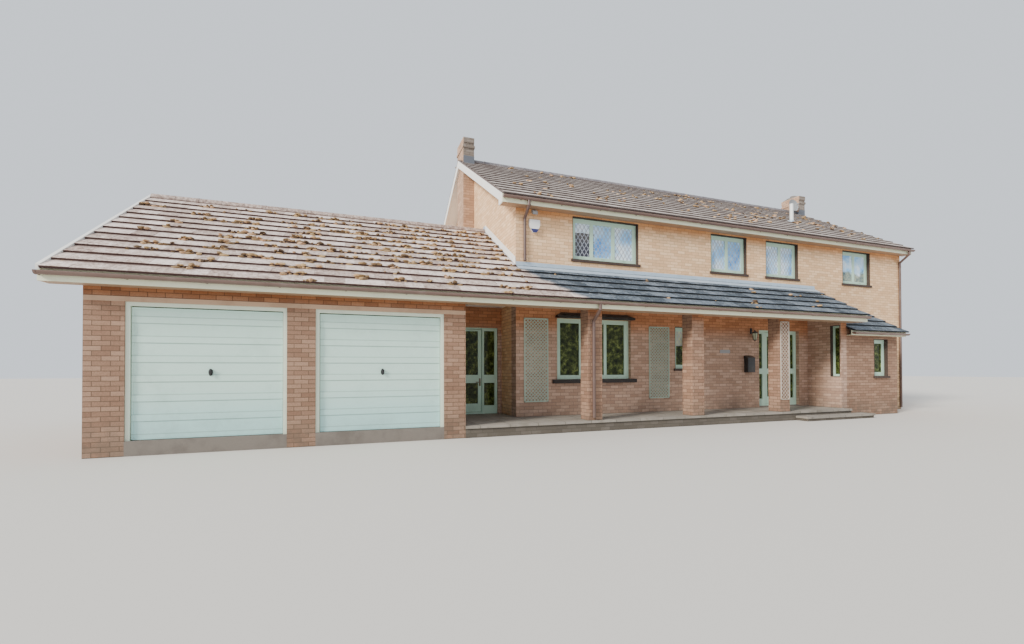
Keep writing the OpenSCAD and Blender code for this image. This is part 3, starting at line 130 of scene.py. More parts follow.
class Value:
    """One output of a shader node, which takes part in Python expressions."""

    def __init__(self, finish, output):
        self.finish = finish
        self.output = output

    def math(self, operation, *operands):
        return self.finish.node(
            "ShaderNodeMath", {"operation": operation}, dict(enumerate(operands)))

    def __add__(self, other):
        return self.math("ADD", self, other)

    __radd__ = __add__

    def __sub__(self, other):
        return self.math("SUBTRACT", self, other)

    def __rsub__(self, other):
        return self.math("SUBTRACT", other, self)

    def __mul__(self, other):
        return self.math("MULTIPLY", self, other)

    __rmul__ = __mul__

    def __truediv__(self, other):
        return self.math("DIVIDE", self, other)

    def __rtruediv__(self, other):
        return self.math("DIVIDE", other, self)

    def __mod__(self, other):
        return self.math("FLOORED_MODULO", self, other)

    def __gt__(self, other):
        return self.math("GREATER_THAN", self, other)

    def __lt__(self, other):
        return self.math("LESS_THAN", self, other)

    def __abs__(self):
        return self.math("ABSOLUTE", self)

    def floor(self):
        return self.math("FLOOR", self)

    def fract(self):
        return self.math("FRACT", self)

    def ramp(self, low, high):
        """0 at low, 1 at high and smooth between; low may be the larger one."""
        return self.finish.node(
            "ShaderNodeMapRange",
            {"interpolation_type": "SMOOTHSTEP"},
            {"Value": self, "From Min": low, "From Max": high},
        )


FINISHES = {}


class Finish:
    """A material with its node tree and its surface shader, kept in FINISHES by its name."""

    def __init__(self, name, **constants):
        self.material = FINISHES[name] = bpy.data.materials.new(name)
        self.material.use_nodes = True
        self.tree = self.material.node_tree
        self.tree.nodes.clear()
        self.surface = self.tree.nodes.new("ShaderNodeBsdfPrincipled")
        output = self.tree.nodes.new("ShaderNodeOutputMaterial")
        self.tree.links.new(self.surface.outputs["BSDF"], output.inputs["Surface"])
        self.set(**constants)

    def put(self, socket, value):
        if isinstance(value, Value):
            self.tree.links.new(value.output, socket)
        elif socket.type == "RGBA" and len(value) == 3:
            socket.default_value = (*value, 1.0)
        else:
            socket.default_value = value

    def set(self, **inputs):
        for name, value in inputs.items():
            self.put(self.surface.inputs[name.replace("_", " ")], value)

    def node(self, kind, settings=None, inputs=None, output=0):
        """Adds a node: its settings come first, then the values or links of its sockets."""
        made = self.tree.nodes.new(kind)
        for key, value in (settings or {}).items():
            if key == "stops":
                ramp = made.color_ramp.elements
                while len(ramp) < len(value):
                    ramp.new(0.5)
                for element, (position, colour) in zip(ramp, value):
                    element.position = position
                    element.color = (*colour, 1.0)
            else:
                setattr(made, key, value)
        for key, value in (inputs or {}).items():
            self.put(made.inputs[key], value)
        if isinstance(output, tuple):
            return [Value(self, made.outputs[name]) for name in output]
        return Value(self, made.outputs[output])

    def place(self):
        """Where the shaded point is in the row frame."""
        return self.node("ShaderNodeTexCoord", output="Object")

    def parts(self, vector):
        return self.node("ShaderNodeSeparateXYZ", None, {0: vector}, ("X", "Y", "Z"))

    def facing(self):
        """The three parts of the surface's normal."""
        return self.parts(self.node("ShaderNodeTexCoord", output="Normal"))

    def vector(self, x, y, z):
        return self.node("ShaderNodeCombineXYZ", None, {0: x, 1: y, 2: z})

    def stretch(self, vector, scale):
        return self.node("ShaderNodeVectorMath", {"operation": "MULTIPLY"}, {0: vector, 1: scale})

    def noise(self, vector, scale, detail=3.0, roughness=0.55):
        return self.node(
            "ShaderNodeTexNoise",
            None,
            {"Vector": vector, "Scale": scale, "Detail": detail, "Roughness": roughness},
        )

    def chance(self, vector):
        """A random number for each cell."""
        return self.node("ShaderNodeTexWhiteNoise", None, {"Vector": vector}, "Value")

    def attribute(self, name):
        return self.node("ShaderNodeAttribute", {"attribute_name": name}, output="Fac")

    def colours(self, value, *stops):
        return self.node("ShaderNodeValToRGB", {"stops": stops}, {"Fac": value})

    def mix(self, share, first, second, how="MIX"):
        """Blends two colours by a share."""
        settings = {"data_type": "RGBA", "blend_type": how}
        return self.node("ShaderNodeMix", settings, {0: share, 6: first, 7: second}, 2)

    def tint(self, colour, by):
        """A colour multiplied by another."""
        return self.mix(1.0, colour, by, "MULTIPLY")

    def shade(self, colour, value, low, high):
        """A colour made darker or lighter where a value runs from 0 to 1."""
        return self.tint(colour, self.colours(value, (0.0, (low,) * 3), (1.0, (high,) * 3)))

    def relief(self, height, distance, strength=1.0):
        bump = self.node(
            "ShaderNodeBump", None, {"Height": height, "Distance": distance, "Strength": strength})
        self.set(Normal=bump)


# Finishes


class Shadow(NamedTuple):
    """A painted shade over the head of a wall: its tint, the heights of its fade and its end along X.
    """

    tint: tuple
    start: float
    end: float
    last_x: float


class SunnyEnd(NamedTuple):
    """A painted sunlight tint over the right end of a wall, from its start along X."""

    tint: tuple
    first_x: float


def brickwork(name, bricks, mortar, sizes, spread=0.25, shadow=None, sunny=None):
    """Stretcher bond in three tones of brick with dark joints, soiled at its foot, with painted shade
    over its head and painted sunlight on its right end where given.
    """
    finish = Finish(name, Roughness=0.92)
    place = finish.place()
    x, y, z = finish.parts(place)
    nx, _, nz = finish.facing()
    side = abs(nx) > 0.6
    level = abs(nz) > 0.6
    along = x + (y - x) * side
    rise = (z + (y - z) * level) / sizes.height
    course = rise.floor()
    start = along / sizes.length + (course % 2.0) * 0.5
    u = start.fract() * sizes.length
    v = rise.fract() * sizes.height
    low, high = sizes.joint - 0.0025, sizes.joint + 0.0015
    solid = u.ramp(low, high) * v.ramp(low, high)
    cell = finish.vector(start.floor(), course, side * 9.0)
    tone = finish.chance(cell)
    grain = finish.noise(place, 55.0, 4.0, 0.65)
    cloud = finish.noise(place, 0.7, 3.0)
    stops = zip((0.5 - spread, 0.5, 0.5 + spread), bricks)
    face = finish.colours(tone * 0.45 + grain * 0.55, *stops)
    face = finish.shade(face, grain, 0.88, 1.10)
    joint = finish.shade(mortar, grain, 0.88, 1.08)
    body = finish.mix(solid, joint, face)
    body = finish.shade(body, cloud.ramp(0.3, 0.7), 0.93, 1.06)
    # Painted shade over the head of the wall, on the faces that don't look sideways
    if shadow:
        waver = finish.noise(place, 2.5, 3.0) * 0.12
        share = (z + waver).ramp(shadow.start, shadow.end) * (1.0 - side)
        share = share * (x < SITE.x + shadow.last_x)
        body = finish.mix(share, body, finish.tint(body, shadow.tint))
    # Painted sunlight over the right end of the wall
    if sunny:
        body = finish.mix(x > SITE.x + sunny.first_x, body, finish.tint(body, sunny.tint))
    soil = z.ramp(0.75, 0.0) * finish.noise(place, 6.0, 4.0).ramp(0.25, 0.6)
    body = finish.mix(soil * 0.5, body, (0.10, 0.085, 0.065))
    finish.set(Base_Color=body)
    finish.relief(solid * 0.6 + grain * 0.4, 0.003, 0.4)


def brick_finishes(sizes):
    """One brick in lit and shaded copies: brown for painted shade below, paler for painted light under
    the porch, buff for the sunlit walls above, grey painted shade on the stacks' front faces above the
    roof, and dark at the platform.
    """
    # lower_brick: the brick darkened to brown, painted shade on the garage and the piers
    brickwork("lower_brick", ((0.235, 0.130, 0.083), (0.300, 0.176, 0.114), (0.38, 0.235, 0.158)),
              (0.115, 0.070, 0.045), sizes,
              shadow=Shadow((0.95, 0.62, 0.36), 2.30, 2.62, PORCH_X1))
    # porch_brick: the same brick paler, painted light under the porch, with painted sunlight on its
    # right end
    brickwork("porch_brick", ((0.36, 0.220, 0.155), (0.45, 0.290, 0.208), (0.55, 0.37, 0.275)),
              (0.22, 0.150, 0.110), sizes,
              shadow=Shadow((1.0, 0.66, 0.42), 2.05, 2.55, PORCH_X1),
              sunny=SunnyEnd((1.78, 1.79, 1.42), SIDE_ROOM_X1 + 0.02))
    # upper_brick: the same brick in its buff, sunlit tone for the walls above
    brickwork("upper_brick", ((0.68, 0.415, 0.225), (0.80, 0.520, 0.295), (0.92, 0.65, 0.40)),
              (0.50, 0.300, 0.165), sizes, spread=0.3,
              shadow=Shadow((0.78, 0.58, 0.42), 4.74, 4.98, HOUSE_X1))
    # stack_brick: painted grey shade over the stacks' front faces above the roof
    brickwork("stack_brick", ((0.40, 0.245, 0.155), (0.48, 0.305, 0.200), (0.58, 0.385, 0.265)),
              (0.24, 0.150, 0.100), sizes,
              shadow=Shadow((0.50, 0.64, 0.80), 6.90, 7.50, HOUSE_X1 + 1))
    brickwork("plinth_brick", ((0.085, 0.072, 0.058), (0.115, 0.098, 0.080), (0.16, 0.138, 0.115)),
              (0.070, 0.060, 0.050), sizes)


class TileTones(NamedTuple):
    """Three tones of a tile's face, from dark to light, the dark tone of its nose, which also paints
    shade and dirt, and their mottle.
    """

    faces: tuple
    nose: tuple
    steps: tuple = (0.38, 0.47, 0.57)

    def mottled(self, finish, mottle):
        return finish.colours(mottle, *zip(self.steps, self.faces))


def roof_tiles(name, tones, lichen, dry_moss, where=None, others=None):
    """Concrete tiles, dark at their noses, with painted shade and dirt in the nose tone on the noses
    and under each next nose, a share each of pale lichen and dry moss; other tones lie where a
    function of the place says."""
    finish = Finish(name, Roughness=0.88)
    place = finish.place()
    _, _, nz = finish.facing()
    tone = finish.attribute("tone")
    reach = finish.attribute("reach")
    grain = finish.noise(place, 42.0, 5.0, 0.7)
    cloud = finish.noise(place, 1.1, 4.0)
    patch = finish.noise(place, 7.5, 5.0, 0.7)
    speck = finish.noise(place, 20.0, 4.0, 0.75)
    mottle = tone * 0.12 + patch * 0.30 + speck * 0.40 + grain * 0.18
    face, nose = tones.mottled(finish, mottle), tones.nose
    if where:
        share = where(finish, place)
        face = finish.mix(share, face, others.mottled(finish, mottle))
        nose = finish.mix(share, nose, others.nose)
    face = finish.shade(face, grain, 0.76, 1.18)
    face = finish.shade(face, cloud.ramp(0.3, 0.7), 0.9, 1.06)
    # Painted shade and dirt at the head of each course, under the next course's nose
    head_shade_and_dirt = reach.ramp(0.70, 0.92) * (0.35 + speck)
    face = finish.mix(head_shade_and_dirt, face, nose)
    colour, most = lichen
    pale = finish.noise(place, 19.0, 4.0, 0.7).ramp(0.56, 0.64) * patch.ramp(0.40, 0.60)
    face = finish.mix(pale * most, face, colour)
    colour, most = dry_moss
    ochre = finish.noise(place, 11.0, 5.0, 0.75).ramp(0.58, 0.66) * cloud.ramp(0.42, 0.58)
    face = finish.mix(ochre * most, face, colour)
    # Painted shade: faces that look down, the noses, take the nose tone
    under = nz.ramp(0.30, -0.05)
    face = finish.mix(under, face, nose)
    finish.set(Base_Color=face, Roughness=0.82 + grain * 0.16)
    finish.relief(grain * 0.6 + patch * 0.5, 0.006, 0.8)


def house_shadow_share(finish, place):
    """Share of the porch tiles under the painted shadow of the house, slate coloured right of a
    slanting line.
    """
    slant = 0.73
    x, y, _ = finish.parts(place)
    line = x + y * slant + finish.noise(place, 1.8, 4.0, 0.7) * 0.5
    start = SITE.x + HOUSE_X0 + (SITE.y + HOUSE_Y0) * slant + 0.05
    return line.ramp(start - 0.12, start + 0.16)


def high_up(finish, place):
    """Share of the ridge tiles that lie on the high roof."""
    return finish.parts(place)[2] > 5.5


def tile_finishes():
    """Rosy tiles on the garage, greyer ones on the house, slate coloured ones on the side room, and on
    the porch slate tones right of a line for the painted shadow of the house.
    """
    ivory, straw = (0.56, 0.49, 0.40), (0.44, 0.29, 0.12)
    warm = TileTones(((0.24, 0.165, 0.140), (0.52, 0.415, 0.360), (0.86, 0.75, 0.69)),
                     (0.085, 0.046, 0.040))
    main = TileTones(((0.23, 0.185, 0.165), (0.41, 0.355, 0.315), (0.62, 0.56, 0.51)),
                     (0.135, 0.105, 0.100))
    ridge = TileTones(((0.13, 0.12, 0.135), (0.22, 0.205, 0.215), (0.33, 0.31, 0.33)), main.nose)
    slate = TileTones(((0.018, 0.027, 0.038), (0.062, 0.082, 0.105), (0.19, 0.230, 0.28)),
                      (0.010, 0.012, 0.016), (0.36, 0.48, 0.60))
    roof_tiles("warm_tiles", warm, (ivory, 0.3), (straw, 0.45))
    roof_tiles("ridge_tiles", warm, (ivory, 0.3), (straw, 0.35), high_up, ridge)
    roof_tiles("main_tiles", main, (ivory, 0.30), (straw, 0.35))
    # Porch: rosy tiles, with slate tones as the house's painted shadow over its right part
    roof_tiles("porch_tiles", warm, ((0.46, 0.50, 0.50), 0.55), (straw, 0.2), house_shadow_share, slate)
    roof_tiles("dark_tiles", slate, ((0.36, 0.40, 0.42), 0.6), ((0.12, 0.15, 0.07), 0.35))


class Bands(NamedTuple):
    """Pressed bands of a door: the lowest one's foot, their pitch and height, and the tint of a
    painted sky reflection low on the door.
    """

    lowest: float
    pitch: float
    height: float
    sky_reflection_tint: tuple


def painted(name, colour, grime_and_crease_shade, roughness=0.5, soil=0.35, bands=None, below=None):
    """Brushed paint that holds a little grime; pressed bands get painted shade and grime at their
    edges and a painted sky reflection low down, and faces that look down get a painted shade.
    """
    finish = Finish(name)
    place = finish.place()
    _, _, z = finish.parts(place)
    grain = finish.noise(finish.stretch(place, (9.0, 9.0, 70.0)), 1.0, 4.0)
    cloud = finish.noise(place, 2.2, 5.0, 0.7)
    body = finish.shade(colour, grain, 0.95, 1.03)
    grime = cloud.ramp(0.48, 0.74) * soil
    body = finish.mix(grime, body, grime_and_crease_shade)
    foot = z.ramp(0.7, 0.2) * cloud.ramp(0.3, 0.65) * soil
    body = finish.mix(foot, body, grime_and_crease_shade)
    # Painted shade: faces that look down, such as soffits, take the given tint
    if below:
        down = finish.facing()[2] < -0.6
        body = finish.mix(down, body, below)
    if bands:
        pitch = bands.pitch
        # Painted sky reflection: a bluer tint towards the foot of the door
        body = finish.mix(z.ramp(1.15, 0.35) * 0.75, body, finish.tint(body, bands.sky_reflection_tint))
        # Painted shade and grime in the creases at both edges of each pressed band
        for edge in (bands.lowest, bands.lowest + bands.height):
            away = abs((z - edge + pitch / 2) % pitch - pitch / 2)
            body = finish.mix(away.ramp(0.011, 0.003) * 0.42, body, grime_and_crease_shade)
    finish.set(Base_Color=body, Roughness=roughness + cloud * 0.2)
    finish.relief(grain, 0.0015, 0.4)


def timber(name, light, dark, roughness=0.6):
    """Stained timber with its grain along the piece."""
    finish = Finish(name)
    place = finish.place()
    warp = finish.noise(place, 3.0, 2.0)
    grain = finish.noise(finish.stretch(place, (12.0, 60.0, 45.0)), 1.0, 5.0, 0.7)
    body = finish.colours(grain * 0.8 + warp * 0.2, (0.3, dark), (0.7, light))
    worn = finish.noise(place, 9.0, 4.0).ramp(0.58, 0.7) * 0.3
    body = finish.mix(worn, body, (0.13, 0.10, 0.08))
    finish.set(Base_Color=body, Roughness=roughness + grain * 0.2)
    finish.relief(grain, 0.002, 0.5)


def joinery_finishes(tints):
    """Paints of boards, windows, doors and lattices, and stained timber."""
    # The cream boards' soffits get a painted orange-brown shade
    painted("cream_paint", tints.cream, (0.50, 0.48, 0.32), 0.45, 0.25, below=(0.40, 0.26, 0.165))
    painted("white_paint", tints.white, (0.40, 0.37, 0.32), 0.45, 0.2)
    painted("mint_paint", tints.mint, (0.24, 0.30, 0.24), 0.42, 0.2)
    painted("frame_paint", tints.frame, (0.36, 0.42, 0.34), 0.42, 0.25)
    painted("door_paint", tints.door, (0.20, 0.28, 0.24), 0.35, 0.14,
            Bands(SILL_Z + 0.285, 0.300, 0.104, (0.72, 0.87, 0.98)))
    painted("lattice", (0.41, 0.50, 0.41), (0.26, 0.30, 0.23), 0.7, 0.3)
    painted("pale_lattice", (0.52, 0.45, 0.38), (0.25, 0.22, 0.16), 0.7, 0.5)
    timber("brown_timber", (0.085, 0.052, 0.038), (0.030, 0.019, 0.015))
    timber("dark_timber", (0.026, 0.020, 0.017), (0.012, 0.009, 0.008), 0.5)


def moulded(name, colour, roughness=0.32, coat=0.3, fade=0.14):
    """Extruded or moulded plastic, faded a little by the weather."""
    finish = Finish(name, Coat_Weight=coat, Coat_Roughness=0.2)
    place = finish.place()
    cloud = finish.noise(place, 4.0, 5.0, 0.7)
    dust = finish.noise(place, 60.0, 3.0)
    body = finish.shade(colour, cloud, 0.86, 1.12)
    body = finish.mix(cloud.ramp(0.5, 0.75) * fade, body, (0.42, 0.40, 0.37))
    finish.set(Base_Color=body, Roughness=roughness + dust * 0.2)
    finish.relief(dust, 0.0006, 0.4)


def plastic_finishes(tints):
    """Gutters, downpipes in a darker copy of the gutters' brown as painted shade, and the plastics and
    enamel of the fittings.
    """
    moulded("brown_plastic", tints.brown)
    # The downpipes' darker copy of the brown stands for painted shade
    moulded("dark_plastic", tuple(value * 0.65 for value in tints.brown))
    moulded("black_metal", (0.018, 0.018, 0.019), 0.38, 0.2, 0.06)
    moulded("white_plastic", (0.86, 0.86, 0.85), 0.35, 0.2, 0.06)
    moulded("blue_plastic", (0.018, 0.022, 0.13), 0.35, 0.2, 0.06)
    moulded("grey_plastic", (0.30, 0.31, 0.32), 0.45, 0.1, 0.1)


def cast(name, colour, stain, scale=1.0):
    """Weathered concrete, mortar, clay or obscured glass with darker stains."""
    finish = Finish(name, Roughness=0.9)
    place = finish.place()
    grain = finish.noise(place, 90.0 * scale, 4.0, 0.7)
    cloud = finish.noise(place, 2.6 * scale, 6.0, 0.65)
    body = finish.shade(colour, grain, 0.86, 1.1)
    body = finish.mix(cloud.ramp(0.42, 0.68) * 0.6, body, stain)
    finish.set(Base_Color=body)
    finish.relief(grain * 0.5 + cloud, 0.004, 0.6)


def slabs(name, colour, stain, size):
    """Paving slabs with dark joints, each slab its own tone."""
    finish = Finish(name, Roughness=0.88)
    place = finish.place()
    x, y, _ = finish.parts(place)
    u, v = x / size, y / size
    half = size * 0.5
    edge_u = half - abs(u.fract() * size - half)
    edge_v = half - abs(v.fract() * size - half)
    solid = edge_u.ramp(0.002, 0.007) * edge_v.ramp(0.002, 0.007)
    tone = finish.chance(finish.vector(u.floor(), v.floor(), 0.0))
    grain = finish.noise(place, 70.0, 4.0, 0.7)
    cloud = finish.noise(place, 3.0, 5.0, 0.65)
    face = finish.shade(colour, tone, 0.84, 1.12)
    face = finish.shade(face, grain, 0.88, 1.08)
    face = finish.mix(cloud.ramp(0.45, 0.7) * 0.55, face, stain)
    finish.set(Base_Color=finish.mix(solid, (0.07, 0.06, 0.05), face))
    finish.relief(solid + grain * 0.15, 0.004, 0.7)


def masonry_finishes():
    """Concrete, lintels, mortar, paving, clay and the hall's obscured glass."""
    cast("concrete", (0.20, 0.175, 0.150), (0.12, 0.10, 0.085))
    cast("lintel", (0.55, 0.37, 0.25), (0.40, 0.26, 0.17))
    cast("mortar", (0.22, 0.20, 0.18), (0.11, 0.10, 0.09), 1.5)
    cast("clay", (0.20, 0.15, 0.12), (0.10, 0.08, 0.07), 0.8)
    cast("pattern_glass", (0.62, 0.66, 0.46), (0.35, 0.42, 0.34), 2.0)
    slabs("paving", (0.30, 0.27, 0.23), (0.15, 0.13, 0.10), 0.6)


def sheet_metal(name, colour, roughness, metallic, scale=3.0):
    """Lead, zinc or polished metal with a patchy bloom."""
    finish = Finish(name)
    place = finish.place()
    cloud = finish.noise(place, scale, 6.0, 0.7)
    grain = finish.noise(place, scale * 16.0, 3.0)
    body = finish.shade(colour, cloud, 0.75, 1.2)
    finish.set(Base_Color=body, Metallic=metallic, Roughness=roughness + grain * 0.18)
    finish.relief(cloud + grain * 0.2, 0.002, 0.5)


def metal_finishes():
    """Flashings, the stacks' older lead, garage door gear, door furniture and window leads."""
    sheet_metal("lead", (0.44, 0.54, 0.64), 0.5, 0.1)
    sheet_metal("old_lead", (0.13, 0.14, 0.165), 0.6, 0.1)
    sheet_metal("steel", (0.55, 0.56, 0.57), 0.35, 0.85)
    sheet_metal("brass", (0.16, 0.135, 0.09), 0.35, 0.7)
    sheet_metal("came", (0.42, 0.45, 0.52), 0.4, 0.0)


def window_glass():
    """Panes painted with a sky reflection upstairs and a dark mottled foliage reflection below. On the
    front the first upper light is painted with the shade of a dark room behind it, and the last upper
    window with a green foliage reflection towards its foot."""
    sky_reflection_tones = ((0.34, (0.10, 0.30, 0.68)), (0.47, (0.32, 0.62, 0.94)), (0.62, (0.82, 0.93, 1.0)))
    ground_floor_reflection_tones = (
        (0.36, (0.008, 0.011, 0.005)), (0.52, (0.050, 0.066, 0.018)), (0.70, (0.26, 0.31, 0.09)))
    foliage_reflection_tones = ((0.35, (0.03, 0.05, 0.02)), (0.65, (0.42, 0.42, 0.20)))
    dark_room_shade_tone, dark_room_shade_top, foliage_reflection_top, storey_z = (0.045, 0.026, 0.016), 4.72, 4.66, 3.4
    finish = Finish("glass", Roughness=0.04, IOR=1.22, Coat_Roughness=0.03)
    place = finish.place()
    x, y, z = finish.parts(place)
    front = y < SITE.y + HOUSE_Y0 + 1.0
    cloud = finish.noise(place, 1.7, 5.0, 0.6)
    mottle = finish.noise(place, 9.0, 6.0, 0.75)
    # Painted shade: the first upper light goes nearly black for the dark room behind it, over the
    # painted sky reflection
    room = (x < SITE.x + DARK_ROOM_X1) * (z + cloud * 0.25 < dark_room_shade_top)
    room = room * (x > SITE.x + HOUSE_X0) * front
    sky = finish.mix(room * 0.92, finish.colours(cloud, *sky_reflection_tones), dark_room_shade_tone)
    # Painted green foliage reflection towards the foot of the last upper window
    far = 1.0 - (z + cloud * 0.9).ramp(foliage_reflection_top, foliage_reflection_top + 0.12)
    far = (x > SITE.x + LAST_WINDOW_X0) * far
    sky = finish.mix(far * front * 0.8, sky, finish.colours(mottle, *foliage_reflection_tones))
    # Painted foliage reflection on the ground floor panes, painted sky reflection above
    high = z.ramp(storey_z, storey_z + 0.2)
    body = finish.mix(high, finish.colours(mottle, *ground_floor_reflection_tones), sky)
    finish.set(Base_Color=body, Coat_Weight=high * 0.25)
    finish.relief(finish.noise(place, 1.3, 1.0), 0.004, 0.25)


def cushion_moss():
    """Dry moss and lichen clumps, from dark brown to straw."""
    tones = ((0.1, (0.09, 0.055, 0.032)), (0.4, (0.30, 0.19, 0.095)),
             (0.65, (0.54, 0.36, 0.175)), (0.9, (0.60, 0.37, 0.22)))
    finish = Finish("moss", Roughness=0.97)
    place = finish.place()
    tone = finish.attribute("tone")
    grain = finish.noise(place, 130.0, 4.0, 0.8)
    body = finish.colours(tone * 0.8 + grain * 0.2, *tones)
    finish.set(Base_Color=finish.shade(body, grain, 0.55, 1.25))
    finish.relief(grain, 0.006, 1.0)


# Shapes


class Shape:
    """The mesh of one piece under construction, in the row frame."""

    def __init__(self, *layers):
        self.mesh = bmesh.new()
        self.layers = {name: self.mesh.verts.layers.float.new(name) for name in layers}

    def vert(self, point, **values):
        made = self.mesh.verts.new(point)
        for name, value in values.items():
            made[self.layers[name]] = value
        return made

    def skin(self, rings):
        """Faces between rings of vertices, with both ends closed."""
        count = len(rings[0])
        for a, b in zip(rings, rings[1:]):
            for i in range(count):
                j = (i + 1) % count
                self.mesh.faces.new((a[i], a[j], b[j], b[i]))
        self.mesh.faces.new(reversed(rings[0]))
        self.mesh.faces.new(rings[-1])

    def prism(self, outline, reach, values=None):
        """An outline of points carried along a vector."""
        values = values or [{}] * len(outline)
        near = [self.vert(point, **value) for point, value in zip(outline, values)]
        far = [self.vert(point + reach, **value) for point, value in zip(outline, values)]
        self.skin([near, far])

    def block(self, low, high, bevel=0.0):
        """A box between two corners, its edges eased by a bevel."""
        size = high - low
        made = bmesh.ops.create_cube(self.mesh, size=1.0)["verts"]
        for vertex in made:
            vertex.co = low + Vector((vertex.co[i] + 0.5) * size[i] for i in range(3))
        if bevel:
            edges = list({edge for vertex in made for edge in vertex.link_edges})
            bmesh.ops.bevel(
                self.mesh, geom=edges, offset=bevel, segments=2, profile=0.6, affect="EDGES")

    def lath(self, start, end, width, lift):
        """A strip of rectangular section over a surface that faces the front."""
        along = (end - start).normalized()
        across = along.cross(FRONT) * (width / 2)
        rise = FRONT * lift
        self.prism([start - across, start + across, start + across + rise, start - across + rise],
                   end - start)

    def ring(self, centre, turn, radius, height, sides):
        """Vertices of a circle about a turned axis."""
        made = []
        for i in range(sides):
            angle = math.tau * i / sides
            spoke = Vector((math.cos(angle) * radius, math.sin(angle) * radius, height))
            made.append(self.vert(centre + turn @ spoke))
        return made

    def lathe(self, base, axis, profile, sides=24):
        """A profile of (distance along the axis, radius) turned about the axis."""
        turn = axis.to_track_quat("Z", "Y")
        self.skin([self.ring(base, turn, radius, height, sides) for height, radius in profile])

    def rod(self, path, radius, sides=10):
        """A round rod along a path of points."""
        rings = []
        for i, point in enumerate(path):
            before, after = path[max(i - 1, 0)], path[min(i + 1, len(path) - 1)]
            turn = (after - before).normalized().to_track_quat("Z", "Y")
            rings.append(self.ring(point, turn, radius, 0.0, sides))
        self.skin(rings)

    def clump(self, centre, size, chance, **values):
        """A small uneven lump."""
        made = bmesh.ops.create_icosphere(self.mesh, subdivisions=1, radius=1.0)["verts"]
        turn = Matrix.Rotation(chance.uniform(0, math.tau), 3, "Z")
        for vertex in made:
            spread = chance.uniform(0.7, 1.25)
            local = Vector(vertex.co[i] * size[i] * spread for i in range(3))
            vertex.co = centre + turn @ local
            for name, value in values.items():
                vertex[self.layers[name]] = value

    def piece(self, name, finish, slot, body=BODY, smooth=None, replaces=()):
        """Ends the mesh and hands it over as a piece that rides on a body."""
        bmesh.ops.recalc_face_normals(self.mesh, faces=self.mesh.faces)
        mesh = bpy.data.meshes.new(name)
        self.mesh.to_mesh(mesh)
        self.mesh.free()
        mesh.materials.append(FINISHES[finish])
        if smooth:
            mesh.shade_smooth()
            mesh.set_sharp_from_angle(angle=math.radians(smooth))
        made = bpy.data.objects.new(name, mesh)
        bpy.context.scene.collection.objects.link(made)
        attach(made, body)
        if replaces:
            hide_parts(*replaces)


def islands(node):
    """The boxes (lowest, highest corner) of the separate solids of a CAD node."""
    mesh = bmesh.new()
    mesh.from_mesh(frame["nodes"][node].data)
    bmesh.ops.remove_doubles(mesh, verts=mesh.verts, dist=1e-5)
    left, boxes = set(mesh.verts), []
    while left:
        reached, edge = set(), [next(iter(left))]
        while edge:
            vertex = edge.pop()
            if vertex in reached:
                continue
            reached.add(vertex)
            edge.extend(e.other_vert(vertex) for e in vertex.link_edges)
        left -= reached
        points = [v.co for v in reached]
        boxes.append((Vector(map(min, *points)), Vector(map(max, *points))))
    mesh.free()
    return sorted(boxes, key=lambda pair: tuple(pair[0]))


def crossed(low, high, pitch, slant, shortest):
    """Slanting lines both ways over an upright rectangle: their way, then both ends as (x, z)."""
    width = high.x - low.x
    for way in (1, -1):
        z = low.z - width * slant * (way > 0) + pitch / 2
        while z < high.z + width * slant * (way < 0):
            (za, xa), (zb, xb) = sorted(((z, low.x), (z + way * width * slant, high.x)))
            levels = max(za, low.z), min(zb, high.z)
            if levels[1] - levels[0] > shortest:
                turn = (xb - xa) / (zb - za)
                yield way, *[(xa + turn * (level - za), level) for level in levels]
            z += pitch


def dress(finish, *nodes):
    """Gives CAD nodes a finish."""
    for name in nodes:
        node = frame["nodes"][name]
        node.data.materials.clear()
        node.data.materials.append(FINISHES[finish])


# Settings


class BrickSizes(bpy.types.PropertyGroup):
    length: FloatProperty(
        name="Brick length", description="Length of a brick with its joint", default=0.225,
        unit="LENGTH")
    height: FloatProperty(
        name="Course height", description="Height of a course with its joint", default=0.075,
        unit="LENGTH")
    joint: FloatProperty(
        name="Joint", description="Width of the mortar joints", default=0.010, unit="LENGTH")


class RoofSizes(bpy.types.PropertyGroup):
    gauge: FloatProperty(
        name="Gauge", description="Visible length of a tile", default=0.350, unit="LENGTH")
    width: FloatProperty(
        name="Tile width", description="Width of a tile on the roof", default=0.330, unit="LENGTH")
    skin: FloatProperty(
        name="Tile skin", description="Thickness of a tile over the course it lies on",
        default=0.007, unit="LENGTH")
    lip: FloatProperty(
        name="Nose", description="Reach of a tile's nose beyond the step below it", default=0.012,
        unit="LENGTH")
    gap: FloatProperty(
        name="Side gap", description="Gap between two tiles of a course", default=0.002,
        unit="LENGTH")
    moss: FloatProperty(
        name="Moss", description="Share of the tiles with moss at their noses", default=0.90,
        min=0.0, max=1.0, subtype="FACTOR")


class GlazingSizes(bpy.types.PropertyGroup):
    diamond_w: FloatProperty(
        name="Diamond width", description="Width of a leaded diamond", default=0.110, unit="LENGTH")
    diamond_h: FloatProperty(
        name="Diamond height", description="Height of a leaded diamond", default=0.170,
        unit="LENGTH")
    came: FloatProperty(
        name="Lead width", description="Width of the lead strips", default=0.013, unit="LENGTH")
    lattice: FloatProperty(
        name="Lattice pitch", description="Spacing of the crossed laths", default=0.058,
        unit="LENGTH")


